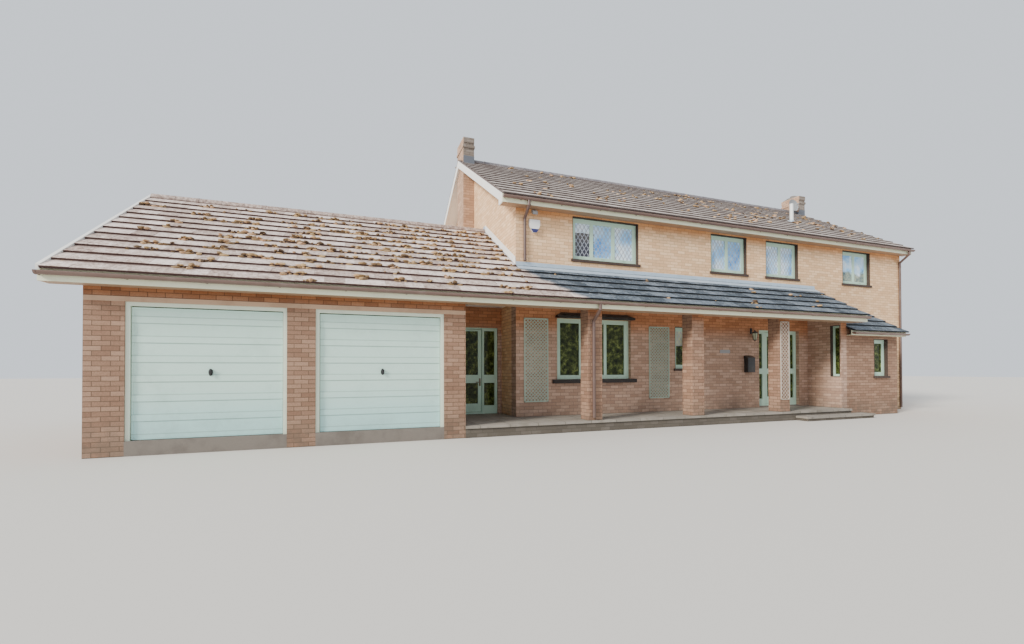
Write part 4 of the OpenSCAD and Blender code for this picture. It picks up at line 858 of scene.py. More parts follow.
class HouseColours(bpy.types.PropertyGroup):
    cream: FloatVectorProperty(
        name="Fascia", description="Paint of the fascia boards", default=(0.86, 0.88, 0.66),
        subtype="COLOR", min=0.0, max=1.0)
    white: FloatVectorProperty(
        name="Barge boards", description="Paint of the barge boards", default=(0.88, 0.87, 0.83),
        subtype="COLOR", min=0.0, max=1.0)
    mint: FloatVectorProperty(
        name="Casements", description="Paint of the casements and doors",
        default=(0.50, 0.70, 0.56), subtype="COLOR", min=0.0, max=1.0)
    frame: FloatVectorProperty(
        name="Garage frames", description="Paint of the frames of the garage doors",
        default=(0.70, 0.78, 0.64), subtype="COLOR", min=0.0, max=1.0)
    door: FloatVectorProperty(
        name="Garage doors", description="Paint of the garage doors",
        default=(0.58, 0.79, 0.70), subtype="COLOR", min=0.0, max=1.0)
    brown: FloatVectorProperty(
        name="Rainwater goods", description="Colour of gutters and downpipes",
        default=(0.18, 0.108, 0.088), subtype="COLOR", min=0.0, max=1.0)


class HouseSettings(bpy.types.PropertyGroup):
    bricks: PointerProperty(type=BrickSizes, name="Brickwork", description="Sizes of the bond")
    roof: PointerProperty(type=RoofSizes, name="Roofs", description="Sizes of the tiles")
    glazing: PointerProperty(
        type=GlazingSizes, name="Glazing", description="Sizes of leads and laths")
    colours: PointerProperty(
        type=HouseColours, name="Colours", description="Paints and plastics")
    seed: IntProperty(name="Seed", description="Start of every random choice", default=7)


# Operators


class HOUSE_OT_finishes(bpy.types.Operator):
    """Make the finishes of the house"""

    bl_idname = "house.finishes"
    bl_label = "Finishes"

    def execute(self, context):
        house = context.scene.house
        brick_finishes(house.bricks)
        tile_finishes()
        joinery_finishes(house.colours)
        plastic_finishes(house.colours)
        masonry_finishes()
        metal_finishes()
        window_glass()
        cushion_moss()
        return {"FINISHED"}


class HOUSE_OT_brickwork(bpy.types.Operator):
    """Lay the brick and concrete finishes on walls, stacks, piers and platform"""

    bl_idname = "house.brickwork"
    bl_label = "Brickwork"

    def execute(self, context):
        dress("lower_brick", "garage_piers", "garage_wall_head", "garage_left_wall",
              "garage_right_wall", "garage_rear_wall", "side_room_front_wall",
              "side_room_right_wall", "porch_piers")
        dress("porch_brick", "link_wall_jambs", "link_wall_head", "front_wall_left",
              "front_wall_right", "entrance_lintel", "side_room_left_wall")
        dress("upper_brick", "front_wall_upper", "left_gable_wall", "right_gable_wall",
              "rear_wall")
        dress("stack_brick", "left_chimney", "right_chimney")
        dress("plinth_brick", "porch_platform")
        dress("lintel", "garage_lintels")
        dress("concrete", "ground_floor", "upper_floor")
        dress("paving", "porch_paving")
        return {"FINISHED"}


class Slope:
    """A slope under tiles, from its eaves up to its ridge or wall. Its run is level, from the wall
    line; way is 1 where it rises towards the back."""

    def __init__(self, name, finish, slot, x_ends, wall_y, eaves_z, run, way=1, over=EAVES_OVER,
                 moss=0.0):
        self.name, self.finish, self.slot = name, finish, slot
        self.x0, self.x1 = x_ends
        self.moss = moss
        self.ridged = run > 2.0
        self.full = run + over + TAIL_OVER
        self.foot = Vector((0, wall_y - way * (over + TAIL_OVER),
                            eaves_z - TAIL_OVER * math.tan(PITCH)))
        self.up = Vector((0, way * math.cos(PITCH), math.sin(PITCH)))
        self.out = Vector((0, -way * math.sin(PITCH), math.cos(PITCH)))

    def spot(self, x, s, h):
        """A point at a place along X, a distance up the slope and a height over it."""
        return SITE + self.foot + Vector((x, 0, 0)) + self.up * s + self.out * h

    def spans(self, course, sizes):
        """Both ends of each tile of a course in broken bond, cut at the stacks."""
        least, rest, clear = 0.05, 0.03, 0.01
        near, far = sorted(self.foot.y + self.up.y * s
                           for s in (course * sizes.gauge, (course + 1) * sizes.gauge))
        meets = far > STACK_Y[0] - 2 * clear and near < STACK_Y[1] + 2 * clear
        edge = self.x0 - (course % 2) * sizes.width / 2
        while edge < self.x1 - rest:
            a, b = max(edge, self.x0), min(edge + sizes.width, self.x1)
            edge += sizes.width
            for left, right in STACKS if meets else ():
                if a < right + clear and b > left - clear:
                    a, b = (a, left - clear) if a < left else (right + clear, b)
            if b - a >= least:
                yield a, b


SLOPES = (
    Slope("garage_front_tiles", "warm_tiles", "warm_tiles", (VERGE_X, HOUSE_X0), 0.0, LOW_EAVES_Z,
          GARAGE_RIDGE_Y, moss=1.0),
    Slope("garage_rear_tiles", "warm_tiles", "warm_tiles", (VERGE_X, HOUSE_X0), 2 * GARAGE_RIDGE_Y,
          LOW_EAVES_Z, GARAGE_RIDGE_Y, way=-1, moss=0.6),
    Slope("porch_tiles", "porch_tiles", "dark_tiles", (HOUSE_X0, PORCH_X1), 0.0, LOW_EAVES_Z,
          HOUSE_Y0, moss=0.25),
    Slope("main_front_tiles", "main_tiles", "warm_tiles", ends("main_roof_front"), HOUSE_Y0,
          HIGH_EAVES_Z, RIDGE_Y - HOUSE_Y0, moss=0.4),
    Slope("main_rear_tiles", "main_tiles", "warm_tiles", ends("main_roof_rear"), HOUSE_Y1,
          HIGH_EAVES_Z, HOUSE_Y1 - RIDGE_Y, way=-1, moss=0.5),
    Slope("side_room_tiles", "dark_tiles", "dark_tiles", ends("side_room_roof"), SIDE_ROOM_Y0,
          SIDE_EAVES_Z, HOUSE_Y0 - SIDE_ROOM_Y0, over=SIDE_EAVES_OVER, moss=0.2),
)

# How many clumps a mossy tile may have, on the garage's front slope and on the others
THICK_MOSS, THIN_MOSS = (3, 5, 7, 10, 14), (1, 2, 3, 5)


def lay_slope(slope, sizes, seed):
    """Lays the tiles of one slope over its stepped courses, and the moss at their noses."""
    chance = random.Random(f"{slope.name}{seed}")
    tiles, moss = Shape("tone", "reach"), Shape("tone")
    lift = COVER_HEAD + sizes.skin
    gap = sizes.gap / 2
    steps = (slope.full + COVER_HEAD * math.sin(PITCH)) / math.cos(PITCH) / sizes.gauge
    last = (slope.full + lift * math.sin(PITCH)) / math.cos(PITCH)
    last -= 0.05 if slope.ridged else 0.004
    for course in range(math.ceil(steps)):
        start, end, head = course * sizes.gauge, (course + 1) * sizes.gauge, lift
        if end > last:
            head += COVER_STEP * (end - last) / sizes.gauge
            end = last
        foot = lift + 0.001 if course else COVER_HEAD + 0.002
        for a, b in slope.spans(course, sizes):
            rise, slip = chance.uniform(0.0, 0.004), chance.uniform(-0.003, 0.003)
            nose = start - sizes.lip + slip
            top = lift + COVER_STEP + 0.004 + rise
            # From under the nose over its rounded front edge to the head, and back underneath
            outline = [
                (nose, foot), (nose - 0.002, top - 0.008), (nose + 0.001, top - 0.002),
                (nose + 0.007, top), (end, head), (end, head - 0.005),
                (start + 0.002, lift + COVER_STEP - 0.005), (start - 0.001, foot),
            ]
            tone = chance.random()
            values = [{"tone": tone, "reach": max(0.0, (s - start) / sizes.gauge)}
                      for s, _ in outline]
            tiles.prism([slope.spot(a + gap, s, h) for s, h in outline],
                        Vector((b - a - sizes.gap, 0, 0)), values)
            along = (a - slope.x0) / (slope.x1 - slope.x0)
            odds = slope.moss * sizes.moss * min(1.0, 0.10 + 2.2 * along)
            odds *= min(1.0, 0.12 + course / 4)
            if chance.random() < odds and end - start > 0.1:
                grow_moss(moss, slope, course, (a, b), nose, (lift + 0.004, top), chance)
    tiles.piece(slope.name, slope.finish, slope.slot, smooth=30)
    moss.piece(slope.name.replace("tiles", "moss"), "moss", "warm_tiles", smooth=60)


def grow_moss(moss, slope, course, span, nose, heights, chance):
    """Clumps of moss about one place of a tile, on its nose or at the foot of it."""
    a, b = span
    middle = chance.uniform(a + 0.04, b - 0.04)
    for _ in range(chance.choice(THICK_MOSS if slope.moss > 0.9 else THIN_MOSS)):
        x = min(max(middle + chance.gauss(0, 0.10), a + 0.03), b - 0.03)
        low = course and chance.random() < 0.45
        width = chance.triangular(0.016, 0.100, 0.038)
        s = nose - chance.uniform(0.2, 0.6) * width if low else nose + 0.4 * width
        h = heights[0] if low else heights[1]
        moss.clump(slope.spot(x, s, h), (width, width * 0.62, width * 0.45), chance,
                   tone=chance.random())


class HOUSE_OT_roofs(bpy.types.Operator):
    """Lay the tiles one by one over the stepped courses of every slope"""

    bl_idname = "house.roofs"
    bl_label = "Roofs"

    def execute(self, context):
        house = context.scene.house
        for slope in SLOPES:
            lay_slope(slope, house.roof, house.seed)
        dress("warm_tiles", "garage_roof_front", "garage_roof_rear")
        dress("ridge_tiles", "ridge_tiles")
        dress("main_tiles", "main_roof_front", "main_roof_rear")
        dress("porch_tiles", "porch_roof")
        dress("dark_tiles", "side_room_roof")
        return {"FINISHED"}


class HOUSE_OT_boards(bpy.types.Operator):
    """Paint fascias, soffits, barge boards and the porch ceiling"""

    bl_idname = "house.boards"
    bl_label = "Boards"

    def execute(self, context):
        dress("cream_paint", "eaves_boards")
        dress("white_paint", "barge_boards", "porch_ceiling")
        dress("brown_timber", "porch_beam")
        return {"FINISHED"}


def half_round(centre, radius, steps=12):
    """Points of a half circle that hangs under its centre, across X."""
    turns = [math.pi + math.pi * k / steps for k in range(steps + 1)]
    return [centre + Vector((0, math.cos(turn), math.sin(turn))) * radius for turn in turns]


def gutter_unions():
    """Collars under the long gutters, about every 3 m, each a pair of thin straps."""
    radius, strap = 0.056, 0.012
    unions = Shape()
    for low, high in islands("gutters"):
        length = high.x - low.x
        if length < 1.5:
            continue
        count = max(1, round(length / 3.0) - 1)
        for i in range(count):
            x = low.x + length * (i + 1) / (count + 1)
            for shift in (-0.028, 0.016):
                centre = Vector((x + shift, (low.y + high.y) / 2, high.z))
                inner = half_round(centre, radius - 0.001)
                unions.prism(half_round(centre, radius + 0.003) + inner[::-1],
                             Vector((strap, 0, 0)))
    unions.piece("gutter_unions", "brown_plastic", "brown_plastic", smooth=40)


def gable_fillet():
    """White fillet along the left gable, over the flashing of the garage roof."""
    fillet = Shape()
    face, ridge_gap, stack_gap, lifts = HOUSE_X0 - 0.0105, 0.140, 0.005, (0.078, 0.245)
    for y0, y1 in ((HOUSE_Y0, GARAGE_RIDGE_Y - ridge_gap),
                   (GARAGE_RIDGE_Y + ridge_gap, STACK_Y[0] - stack_gap),
                   (STACK_Y[1] + stack_gap, 2 * GARAGE_RIDGE_Y)):
        fillet.prism([at(face, y, low_roof_z(y) + lift)
                      for y, lift in ((y0, lifts[0]), (y1, lifts[0]), (y1, lifts[1]), (y0, lifts[1]))],
                     Vector((-0.004, 0, 0)))
    fillet.piece("gable_fillet", "white_paint", "lead")


class HOUSE_OT_rainwater(bpy.types.Operator):
    """Finish gutters, downpipes and flashings and add the gutter unions and the gable's fillet"""

    bl_idname = "house.rainwater"
    bl_label = "Rainwater goods"

    def execute(self, context):
        dress("brown_plastic", "gutters")
        # Downpipes in the darker copy of the brown, painted shade
        dress("dark_plastic", "downpipes")
        dress("lead", "flashings")
        gutter_unions()
        gable_fillet()
        return {"FINISHED"}


def chimney_cap(shape, low, high, rise=0.075):
    """Sloped mortar bed on top of a stack round its pot."""
    inset, half_x, half_y, middle = 0.015, 0.125, 0.15, (low + high) / 2
    foot = [(low.x + inset, low.y + inset), (high.x - inset, low.y + inset),
            (high.x - inset, high.y - inset), (low.x + inset, high.y - inset)]
    head = [(middle.x + dx * half_x, middle.y + dy * half_y)
            for dx, dy in ((-1, -1), (1, -1), (1, 1), (-1, 1))]
    shape.skin([[shape.vert((x, y, z)) for x, y in ring]
                for ring, z in ((foot, high.z), (head, high.z + rise))])


def stack_flashings():
    """Stepped lead down both sides of each stack from the ridge, and an apron at its front foot."""
    thick, tread, pitch = 0.006, 0.070, 0.072
    leads = Shape()
    head_z = high_roof_z(RIDGE_Y) + 0.042
    for x in (HOUSE_X0, HOUSE_X1 - thick):
        for way in (-1, 1):
            for i in range(5):
                y = RIDGE_Y + way * (0.02 + i * pitch)
                z = head_z - abs(y - RIDGE_Y) * math.tan(PITCH)
                ys = sorted((y, y + way * tread))
                leads.block(*corners((x, x + thick), ys, (z - 0.055, z + 0.075), SITE), 0.001)
    foot = high_roof_z(STACK_Y[0])
    for left, _ in STACKS:
        leads.block(*corners((left - 0.003, left + STACK_D + 0.003),
                             (STACK_Y[0] - thick, STACK_Y[0]), (foot, foot + 0.250), SITE), 0.002)
    leads.piece("stack_flashings", "old_lead", "lead")


class HOUSE_OT_chimneys(bpy.types.Operator):
    """Add lower bands, mortar caps and flashings to the stacks"""

    bl_idname = "house.chimneys"
    bl_label = "Chimneys"

    def execute(self, context):
        dress("clay", "chimney_pots")
        caps = Shape()
        for node in ("left_chimney", "right_chimney"):
            low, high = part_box(node)
            chimney_cap(caps, low, high)
            band = Shape()
            band.block(Vector((low.x - 0.020, low.y - 0.004, high.z - 0.300)),
                       Vector((high.x + 0.020, high.y + 0.004, high.z - 0.225)), 0.003)
            band.piece(f"{node}_band", "stack_brick", "brick")
        caps.piece("chimney_caps", "mortar", "concrete")
        stack_flashings()
        return {"FINISHED"}


def lay_leads(shape, low, high, front, sizes):
    """Crossed lead strips over a pane that faces the front."""
    slant = sizes.diamond_h / sizes.diamond_w
    for _, (xa, za), (xb, zb) in crossed(low, high, sizes.diamond_h, slant, 0.02):
        shape.lath(Vector((xa, front, za)), Vector((xb, front, zb)), sizes.came, 0.003)


class HOUSE_OT_windows(bpy.types.Operator):
    """Finish the windows and lay the leading on the panes that have it"""

    bl_idname = "house.windows"
    bl_label = "Windows"

    def execute(self, context):
        sizes = context.scene.house.glazing
        dress("brown_timber", "window_frames", "window_sills")
        dress("dark_timber", "window_hood")
        dress("mint_paint", "window_casements", "lower_window", "entrance_frame")
        dress("glass", "window_glass")
        leads, drips, pattern = Shape(), Shape(), Shape()
        storey_z, narrow, skin = 3.5, 0.5, 0.0005
        for low, high in islands("window_glass"):
            x, face = low.x - SITE.x, low.y
            front = face < SITE.y + HOUSE_Y0 + 0.3
            if front and low.z > storey_z:
                if x < LAST_WINDOW_X0:
                    lay_leads(leads, low, high, face - skin, sizes)
                middle, z = (low.x + high.x) / 2, low.z - 0.030
                drips.block(*corners((middle - 0.05, middle + 0.05), (face - 0.026, face - 0.018),
                                     (z, z + 0.012)), 0.003)
            if front and abs(x - HALL_PANE_X) < 0.2 and high.x - low.x < narrow:
                split, back = high.z - (high.z - low.z) * 0.42, face - 0.003
                pattern.block(Vector((low.x, back, split)), Vector((high.x, face - skin, high.z)))
                lay_leads(leads, Vector((low.x, face, split)), high, back, sizes)
                leads.block(Vector((low.x, face - 0.007, split - 0.012)),
                            Vector((high.x, face - skin, split)))
        leads.piece("window_leads", "came", "lead")
        pattern.piece("hall_pattern_glass", "pattern_glass", "glass")
        drips.piece("casement_drips", "mint_paint", "mint_paint")
        return {"FINISHED"}


def lever(shape, x, face, z):
    """Lever handle over the bare one of a glazed leaf: its plate, spindle and grip."""
    shape.block(*corners((x - 0.022, x + 0.022), (face - 0.010, face - 0.0005),
                         (z - 0.092, z + 0.092)), 0.003)
    shape.rod([Vector((x, face - 0.008, z)), Vector((x, face - 0.050, z))], 0.0105, 16)
    shape.block(*corners((x - 0.112, x + 0.012), (face - 0.058, face - 0.041),
                         (z - 0.010, z + 0.010)), 0.005)


class HOUSE_OT_doors(bpy.types.Operator):
    """Finish the hinged doors and give them their furniture"""

    bl_idname = "house.doors"
    bl_label = "Doors"

    def execute(self, context):
        dress("mint_paint", "front_door", "link_door", "link_door_frame")
        dress("glass", "front_door_glass", "link_door_glass")
        grip = 0.056  # the solid handle's reach in front of the leaf
        for body, half_stile, middle in (("front_door", 0.0525, 1.175), ("link_door", 0.045, 0.990)):
            low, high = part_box(body)
            handle = Shape()
            lever(handle, high.x - half_stile, low.y + grip, middle)
            handle.piece(f"{body}_handle", "brass", "steel", body, smooth=40)
        low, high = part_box("front_door")
        x, face, z = (low.x + high.x) / 2, low.y + grip, 1.215
        plate = Shape()
        plate.block(*corners((x - 0.125, x + 0.125), (face - 0.004, face - 0.0004),
                             (z, z + 0.050)), 0.002)
        plate.block(*corners((x - 0.105, x + 0.105), (face - 0.009, face - 0.003),
                             (z + 0.010, z + 0.040)), 0.002)
        plate.piece("letter_plate", "brass", "steel", "front_door")
        return {"FINISHED"}


class HOUSE_OT_garage_doors(bpy.types.Operator):
    """Finish the up-and-over doors, their frames and gear"""

    bl_idname = "house.garage_doors"
    bl_label = "Garage doors"

    def execute(self, context):
        dress("door_paint", "left_garage_door", "right_garage_door")
        dress("frame_paint", "garage_door_frames")
        dress("steel", "garage_door_tracks", "left_lifting_bar", "right_lifting_bar")
        face, z = SITE.y + 0.059, SILL_Z + 1.030
        turns = [math.tau * k / 24 for k in range(24)]
        for body in ("left_garage_door", "right_garage_door"):
            low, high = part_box(body)
            x = (low.x + high.x) / 2
            handle = Shape()
            handle.prism([Vector((x + math.cos(a) * 0.031, face + 0.001, z + math.sin(a) * 0.056))
                          for a in turns], FRONT * 0.010)
            handle.lathe(Vector((x, face - 0.008, z)), FRONT,
                         [(0.0, 0.016), (0.004, 0.012), (0.026, 0.0105)], 20)
            handle.block(*corners((x - 0.0105, x + 0.0105), (face - 0.041, face - 0.025),
                                  (z - 0.057, z + 0.057)), 0.005)
            handle.piece(f"{body}_handle", "black_metal", "fittings", body, smooth=40)
        return {"FINISHED"}


class HOUSE_OT_lattices(bpy.types.Operator):
    """Make the lattice panels out of crossed laths in a frame"""

    bl_idname = "house.lattices"
    bl_label = "Lattices"

    def execute(self, context):
        spacing = context.scene.house.glazing.lattice * math.sqrt(2)
        inset = Vector((0.01, 0, 0.01))
        depths = {1: 0.0125, -1: 0.0065}
        for number, (low, high) in enumerate(islands("trellis_panels")):
            on_pier = number == 2
            pitch = spacing * (1.2 if on_pier else 1.0)
            rim, lath = (0.016, 0.011) if on_pier else (0.026, 0.016)
            panel = Shape()
            for xs, zs in (
                ((low.x, low.x + rim), (low.z, high.z)), ((high.x - rim, high.x), (low.z, high.z)),
                ((low.x, high.x), (low.z, low.z + rim)), ((low.x, high.x), (high.z - rim, high.z)),
            ):
                panel.block(*corners(xs, (low.y, high.y - 0.001), zs), 0.002)
            for way, (xa, za), (xb, zb) in crossed(low + inset, high - inset, pitch, 1.0, 0.03):
                y = high.y - depths[way]
                panel.lath(Vector((xa, y, za)), Vector((xb, y, zb)), lath, 0.006)
            panel.piece(f"lattice_panel_{number + 1}", "pale_lattice" if on_pier else "lattice",
                        "lattice_paint", replaces=("trellis_panels",))
        return {"FINISHED"}


def fitting(shape, name, finish, smooth=None):
    """Hands over a fitting that stands for its bare solid."""
    shape.piece(name, finish, "fittings", smooth=smooth, replaces=("wall_fittings",))


def alarm_box():
    """White shield shaped cover with a blue foot, both bare."""
    x, z, width, thick = HOUSE_X0 + 0.316, SILL_Z + 4.186, 0.262, 0.045
    shield = ((0.34, 0), (0.66, 0), (0.78, 0.05), (0.95, 0.12), (1.0, 0.17), (1.0, 0.282),
              (0.97, 0.292), (0.03, 0.292), (0.0, 0.282), (0.0, 0.17), (0.05, 0.12), (0.22, 0.05))
    foot = ((0.33, -0.002), (0.67, -0.002), (0.795, 0.05), (0.86, 0.075), (0.14, 0.075),
            (0.205, 0.05))
    cover, base = Shape(), Shape()
    cover.prism([at(x + u * width, HOUSE_Y0, z + v) for u, v in shield], FRONT * thick)
    cover.prism([at(x + (0.5 + (u - 0.5) * 0.93) * width, HOUSE_Y0 - thick, z + 0.012 + v * 0.93)
                 for u, v in shield], FRONT * 0.022)
    fitting(cover, "alarm_box", "white_plastic", 30)
    base.prism([at(x + u * width, HOUSE_Y0 - thick - 0.0002, z + v) for u, v in foot],
               FRONT * 0.024)
    fitting(base, "alarm_base", "blue_plastic")


def letter_box():
    """Black box with a sloping lid, a slot and a door in its front."""
    x0, x1, z0, z1, deep = 13.900, 14.160, SILL_Z + 0.980, SILL_Z + 1.370, 0.135
    front, lid = HOUSE_Y0 - deep, x0 - 0.004
    box = Shape()
    box.block(*corners((x0, x1), (front, HOUSE_Y0), (z0, z1), SITE), 0.008)
    box.prism([at(lid, HOUSE_Y0, z1), at(lid, front - 0.010, z1 - 0.004),
               at(lid, front - 0.010, z1 + 0.008), at(lid, HOUSE_Y0, z1 + 0.072)],
              Vector((x1 - x0 + 0.008, 0, 0)))
    box.block(*corners((x0 + 0.03, x1 - 0.03), (front - 0.007, front + 0.002),
                       (z1 - 0.085, z1 - 0.045), SITE), 0.003)
    box.block(*corners((x0 + 0.02, x1 - 0.02), (front - 0.004, front + 0.002),
                       (z0 + 0.03, z1 - 0.12), SITE), 0.003)
    fitting(box, "letter_box", "black_metal", 35)


def wall_lantern():
    """Six sided lantern that hangs from an arm on a back plate."""
    x, y, z = 14.158, HOUSE_Y0 - 0.130, SILL_Z + 1.857
    cage, glow = Shape(), Shape()
    cage.lathe(at(x, y, z + 0.186), UP, [(0.0, 0.060), (0.004, 0.092), (0.012, 0.090),
                                         (0.050, 0.040), (0.070, 0.016), (0.090, 0.010)], 12)
    cage.lathe(at(x, y, z - 0.040), UP, [(0.0, 0.004), (0.012, 0.014), (0.028, 0.012),
                                         (0.040, 0.048), (0.050, 0.048)], 12)
    for k in range(6):
        angle = math.tau * k / 6
        spoke = Vector((math.cos(angle), math.sin(angle), 0))
        cage.rod([at(x, y, z + 0.005) + spoke * 0.046, at(x, y, z + 0.19) + spoke * 0.076],
                 0.005, 6)
    cage.rod([at(x, y + back, z + rise) for back, rise in
              ((0.0, 0.262), (0.03, 0.285), (0.075, 0.285), (0.11, 0.262), (0.125, 0.262))],
             0.008, 8)
    cage.block(*corners((x - 0.035, x + 0.035), (HOUSE_Y0 - 0.010, HOUSE_Y0),
                        (z + 0.180, z + 0.340), SITE), 0.004)
    fitting(cage, "wall_lantern", "black_metal", 35)
    glow.lathe(at(x, y, z + 0.008), UP, [(0.0, 0.040), (0.175, 0.068)], 6)
    fitting(glow, "lantern_glass", "pattern_glass")


def security_light():
    """Flat lamp on a box under the high eaves, tilted down."""
    x, z, wall = HOUSE_X0 + 0.380, 4.943, HOUSE_Y0
    lamp = Shape()
    lamp.block(*corners((x, x + 0.130), (wall - 0.045, wall), (z - 0.085, z - 0.020), SITE), 0.006)
    lamp.prism([at(x + 0.005, wall - reach, z - drop) for reach, drop in
                ((0.040, 0.030), (0.090, 0.060), (0.080, 0.130), (0.035, 0.100))],
               Vector((0.12, 0, 0)))
    fitting(lamp, "security_light", "grey_plastic")


def satellite_dish():
    """Shallow bowl in front of the right stack, its wall arm and the arm of its feed."""
    curve, half_width, tilt = 0.600, 0.245, math.radians(80)
    apex = high_roof_z(RIDGE_Y) + COVER_HEAD / math.cos(PITCH)
    back = at(HOUSE_X1 - 0.280, STACK_Y[0] + 0.040, apex + 0.130)
    axis = Vector((0, -math.sin(tilt), math.cos(tilt)))
    rim = math.asin(half_width / curve)
    turns = [rim * i / 8 for i in range(9)]
    outer = [(curve * (1 - math.cos(turn)), curve * math.sin(turn) + 0.0005) for turn in turns]
    inner = [(depth + 0.004, max(radius - 0.001, 0.0005)) for depth, radius in reversed(outer)]
    dish, arm = Shape(), Shape()
    dish.lathe(back, axis, outer + inner, 40)
    fitting(dish, "dish", "grey_plastic", 40)
    stack_x = SITE.x + HOUSE_X1
    elbow = back + Vector((0, 0.090, 0))
    arm.rod([back, elbow + Vector((0, -0.02, 0)), elbow + Vector((0.02, 0, 0)),
             Vector((stack_x, elbow.y, elbow.z))], 0.015, 12)
    feed = back + axis * 0.230 + Vector((0, 0, -0.05))
    arm.rod([back + axis * 0.06 + Vector((0, 0, -0.235)), feed + Vector((0, 0, -0.03))], 0.008, 8)
    arm.rod([feed + axis * 0.03, feed - axis * 0.06], 0.026, 12)
    arm.block(Vector((stack_x - 0.008, elbow.y - 0.06, elbow.z - 0.06)),
              Vector((stack_x, elbow.y + 0.06, elbow.z + 0.06)), 0.002)
    fitting(arm, "dish_arm", "grey_plastic", 40)


def vent_pipe():
    """Vent through the front slope of the high roof, with its lead collar."""
    x, y = HOUSE_X1 - 3.110, RIDGE_Y - 2.530
    roof_z = high_roof_z(y)
    out = Vector((0, -math.sin(PITCH), math.cos(PITCH)))
    vent, collar = Shape(), Shape()
    vent.lathe(at(x, y, roof_z + 0.03), UP, [(0.0, 0.055), (0.60, 0.055), (0.60, 0.060),
                                             (0.615, 0.060), (0.615, 0.048), (0.30, 0.048)], 24)
    fitting(vent, "vent_pipe", "white_plastic", 40)
    collar.lathe(at(x, y, roof_z + 0.065), out, [(0.0, 0.13), (0.006, 0.13), (0.012, 0.075),
                                                 (0.04, 0.062), (0.06, 0.058)], 24)
    collar.piece("vent_collar", "lead", "lead", smooth=40)


def plaques():
    """Two bare plates on the wall under the porch."""
    plates = Shape()
    for x, z, width, height in ((11.886, SILL_Z + 1.635, 0.16, 0.24),
                                (13.06, SILL_Z + 1.495, 0.34, 0.09)):
        plates.block(*corners((x, x + width), (HOUSE_Y0 - 0.012, HOUSE_Y0), (z, z + height), SITE),
                     0.003)
    plates.piece("bare_plaques", "grey_plastic", "fittings", smooth=30)


class HOUSE_OT_fittings(bpy.types.Operator):
    """Make the fittings on the walls and the roof"""

    bl_idname = "house.fittings"
    bl_label = "Fittings"

    def execute(self, context):
        alarm_box()
        letter_box()
        wall_lantern()
        security_light()
        satellite_dish()
        vent_pipe()
        plaques()
        return {"FINISHED"}


def lay_floor(scene):
    """A wide plain floor a hair under the foot of the walls."""
    reach, drop = 90.0, 0.002
    mesh = bpy.data.meshes.new("floor")
    ring = [(-reach, -reach), (reach, -reach), (reach, reach), (-reach, reach)]
    mesh.from_pydata([(x, y, -drop) for x, y in ring], [], [(0, 1, 2, 3)])
    Finish("studio_floor", Roughness=0.95, Base_Color=(0.66, 0.63, 0.58))
    mesh.materials.append(FINISHES["studio_floor"])
    floor = bpy.data.objects.new("floor", mesh)
    scene.collection.objects.link(floor)


def light_scene(scene):
    """A pale sky all round and one soft sun from the left front."""
    world = bpy.data.worlds.new("studio")
    world.use_nodes = True
    sky = world.node_tree.nodes["Background"]
    sky.inputs["Color"].default_value = (0.86, 0.92, 1.0, 1.0)
    sky.inputs["Strength"].default_value = 1.1
    scene.world = world
    sun = bpy.data.lights.new("key", "SUN")
    sun.energy = 5.0
    sun.angle = math.radians(14)
    sun.color = (1.0, 0.95, 0.87)
    lamp = bpy.data.objects.new("key", sun)
    towards = Vector((-0.88, -0.35, 0.50))
    lamp.rotation_mode = "QUATERNION"
    lamp.rotation_quaternion = towards.to_track_quat("Z", "Y")
    scene.collection.objects.link(lamp)


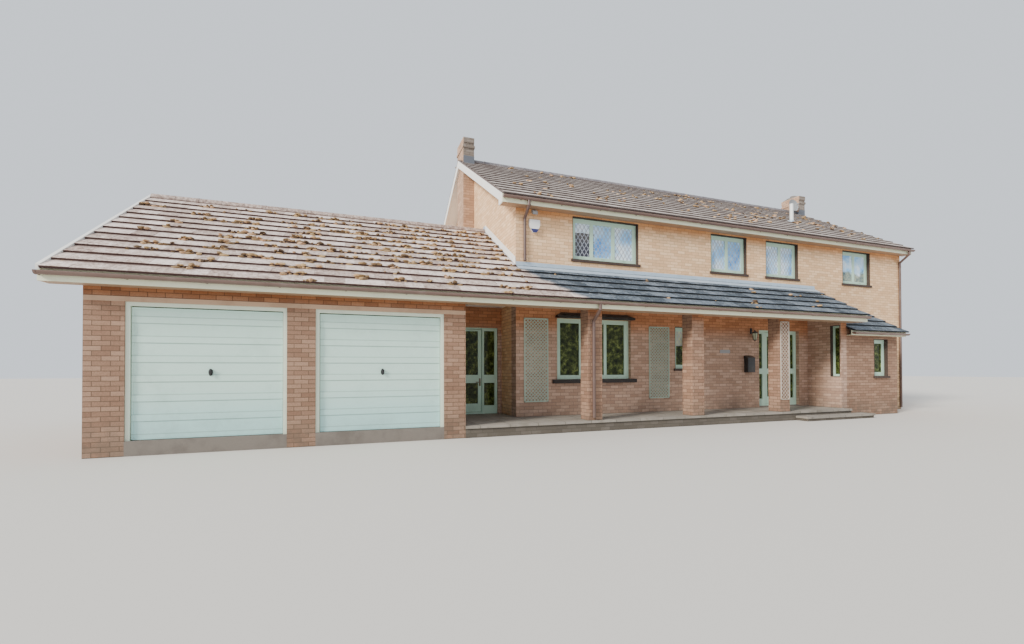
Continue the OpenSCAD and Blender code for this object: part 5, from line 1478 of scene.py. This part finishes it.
def set_camera(scene):
    """The camera at the viewing angle, with the lens that frames the house."""
    eye = at(3.583, -8.4565, 1.282)
    yaw, pitch, roll = 0.3503, 0.0110, -0.0023
    ahead = Vector((math.sin(yaw), math.cos(yaw), 0))
    right = Vector((math.cos(yaw), -math.sin(yaw), 0))
    look = ahead * math.cos(pitch) + UP * math.sin(pitch)
    rise = -ahead * math.sin(pitch) + UP * math.cos(pitch)
    across = right * math.cos(roll) + rise * math.sin(roll)
    rise = rise * math.cos(roll) - right * math.sin(roll)
    lens = bpy.data.cameras.new("camera")
    lens.sensor_width = 36.0
    lens.lens = 16.166
    lens.shift_x, lens.shift_y = 0.0005, 0.0419
    lens.clip_end = 400.0
    camera = bpy.data.objects.new("camera", lens)
    turn = Matrix((across, rise, -look)).transposed().to_4x4()
    camera.matrix_world = Matrix.Translation(eye) @ turn
    scene.collection.objects.link(camera)
    scene.camera = camera


class HOUSE_OT_stage(bpy.types.Operator):
    """Set the floor, the light and the camera at the viewing angle"""

    bl_idname = "house.stage"
    bl_label = "Stage"

    def execute(self, context):
        lay_floor(context.scene)
        light_scene(context.scene)
        set_camera(context.scene)
        return {"FINISHED"}


class HOUSE_PT_panel(bpy.types.Panel):
    bl_label = "Brick House"
    bl_idname = "HOUSE_PT_panel"
    bl_space_type = "VIEW_3D"
    bl_region_type = "UI"
    bl_category = "House"

    def draw(self, context):
        house = context.scene.house
        for group in (house.bricks, house.roof, house.glazing, house.colours):
            box = self.layout.box()
            for key in group.__annotations__:
                box.prop(group, key)
        self.layout.prop(house, "seed")
        for step in STEPS:
            self.layout.operator(step.bl_idname)


STEPS = (
    HOUSE_OT_finishes, HOUSE_OT_brickwork, HOUSE_OT_roofs, HOUSE_OT_boards, HOUSE_OT_rainwater,
    HOUSE_OT_chimneys, HOUSE_OT_windows, HOUSE_OT_doors, HOUSE_OT_garage_doors,
    HOUSE_OT_lattices, HOUSE_OT_fittings, HOUSE_OT_stage,
)
CLASSES = (
    BrickSizes, RoofSizes, GlazingSizes, HouseColours, HouseSettings, *STEPS, HOUSE_PT_panel,
)


def register():
    for kind in CLASSES:
        bpy.utils.register_class(kind)
    bpy.types.Scene.house = PointerProperty(type=HouseSettings)


def unregister():
    del bpy.types.Scene.house
    for kind in reversed(CLASSES):
        bpy.utils.unregister_class(kind)


def main():
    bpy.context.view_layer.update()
    register()
    for step in STEPS:
        group, name = step.bl_idname.split(".")
        getattr(getattr(bpy.ops, group), name)()
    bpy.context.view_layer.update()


if __name__ == "__main__":
    main()
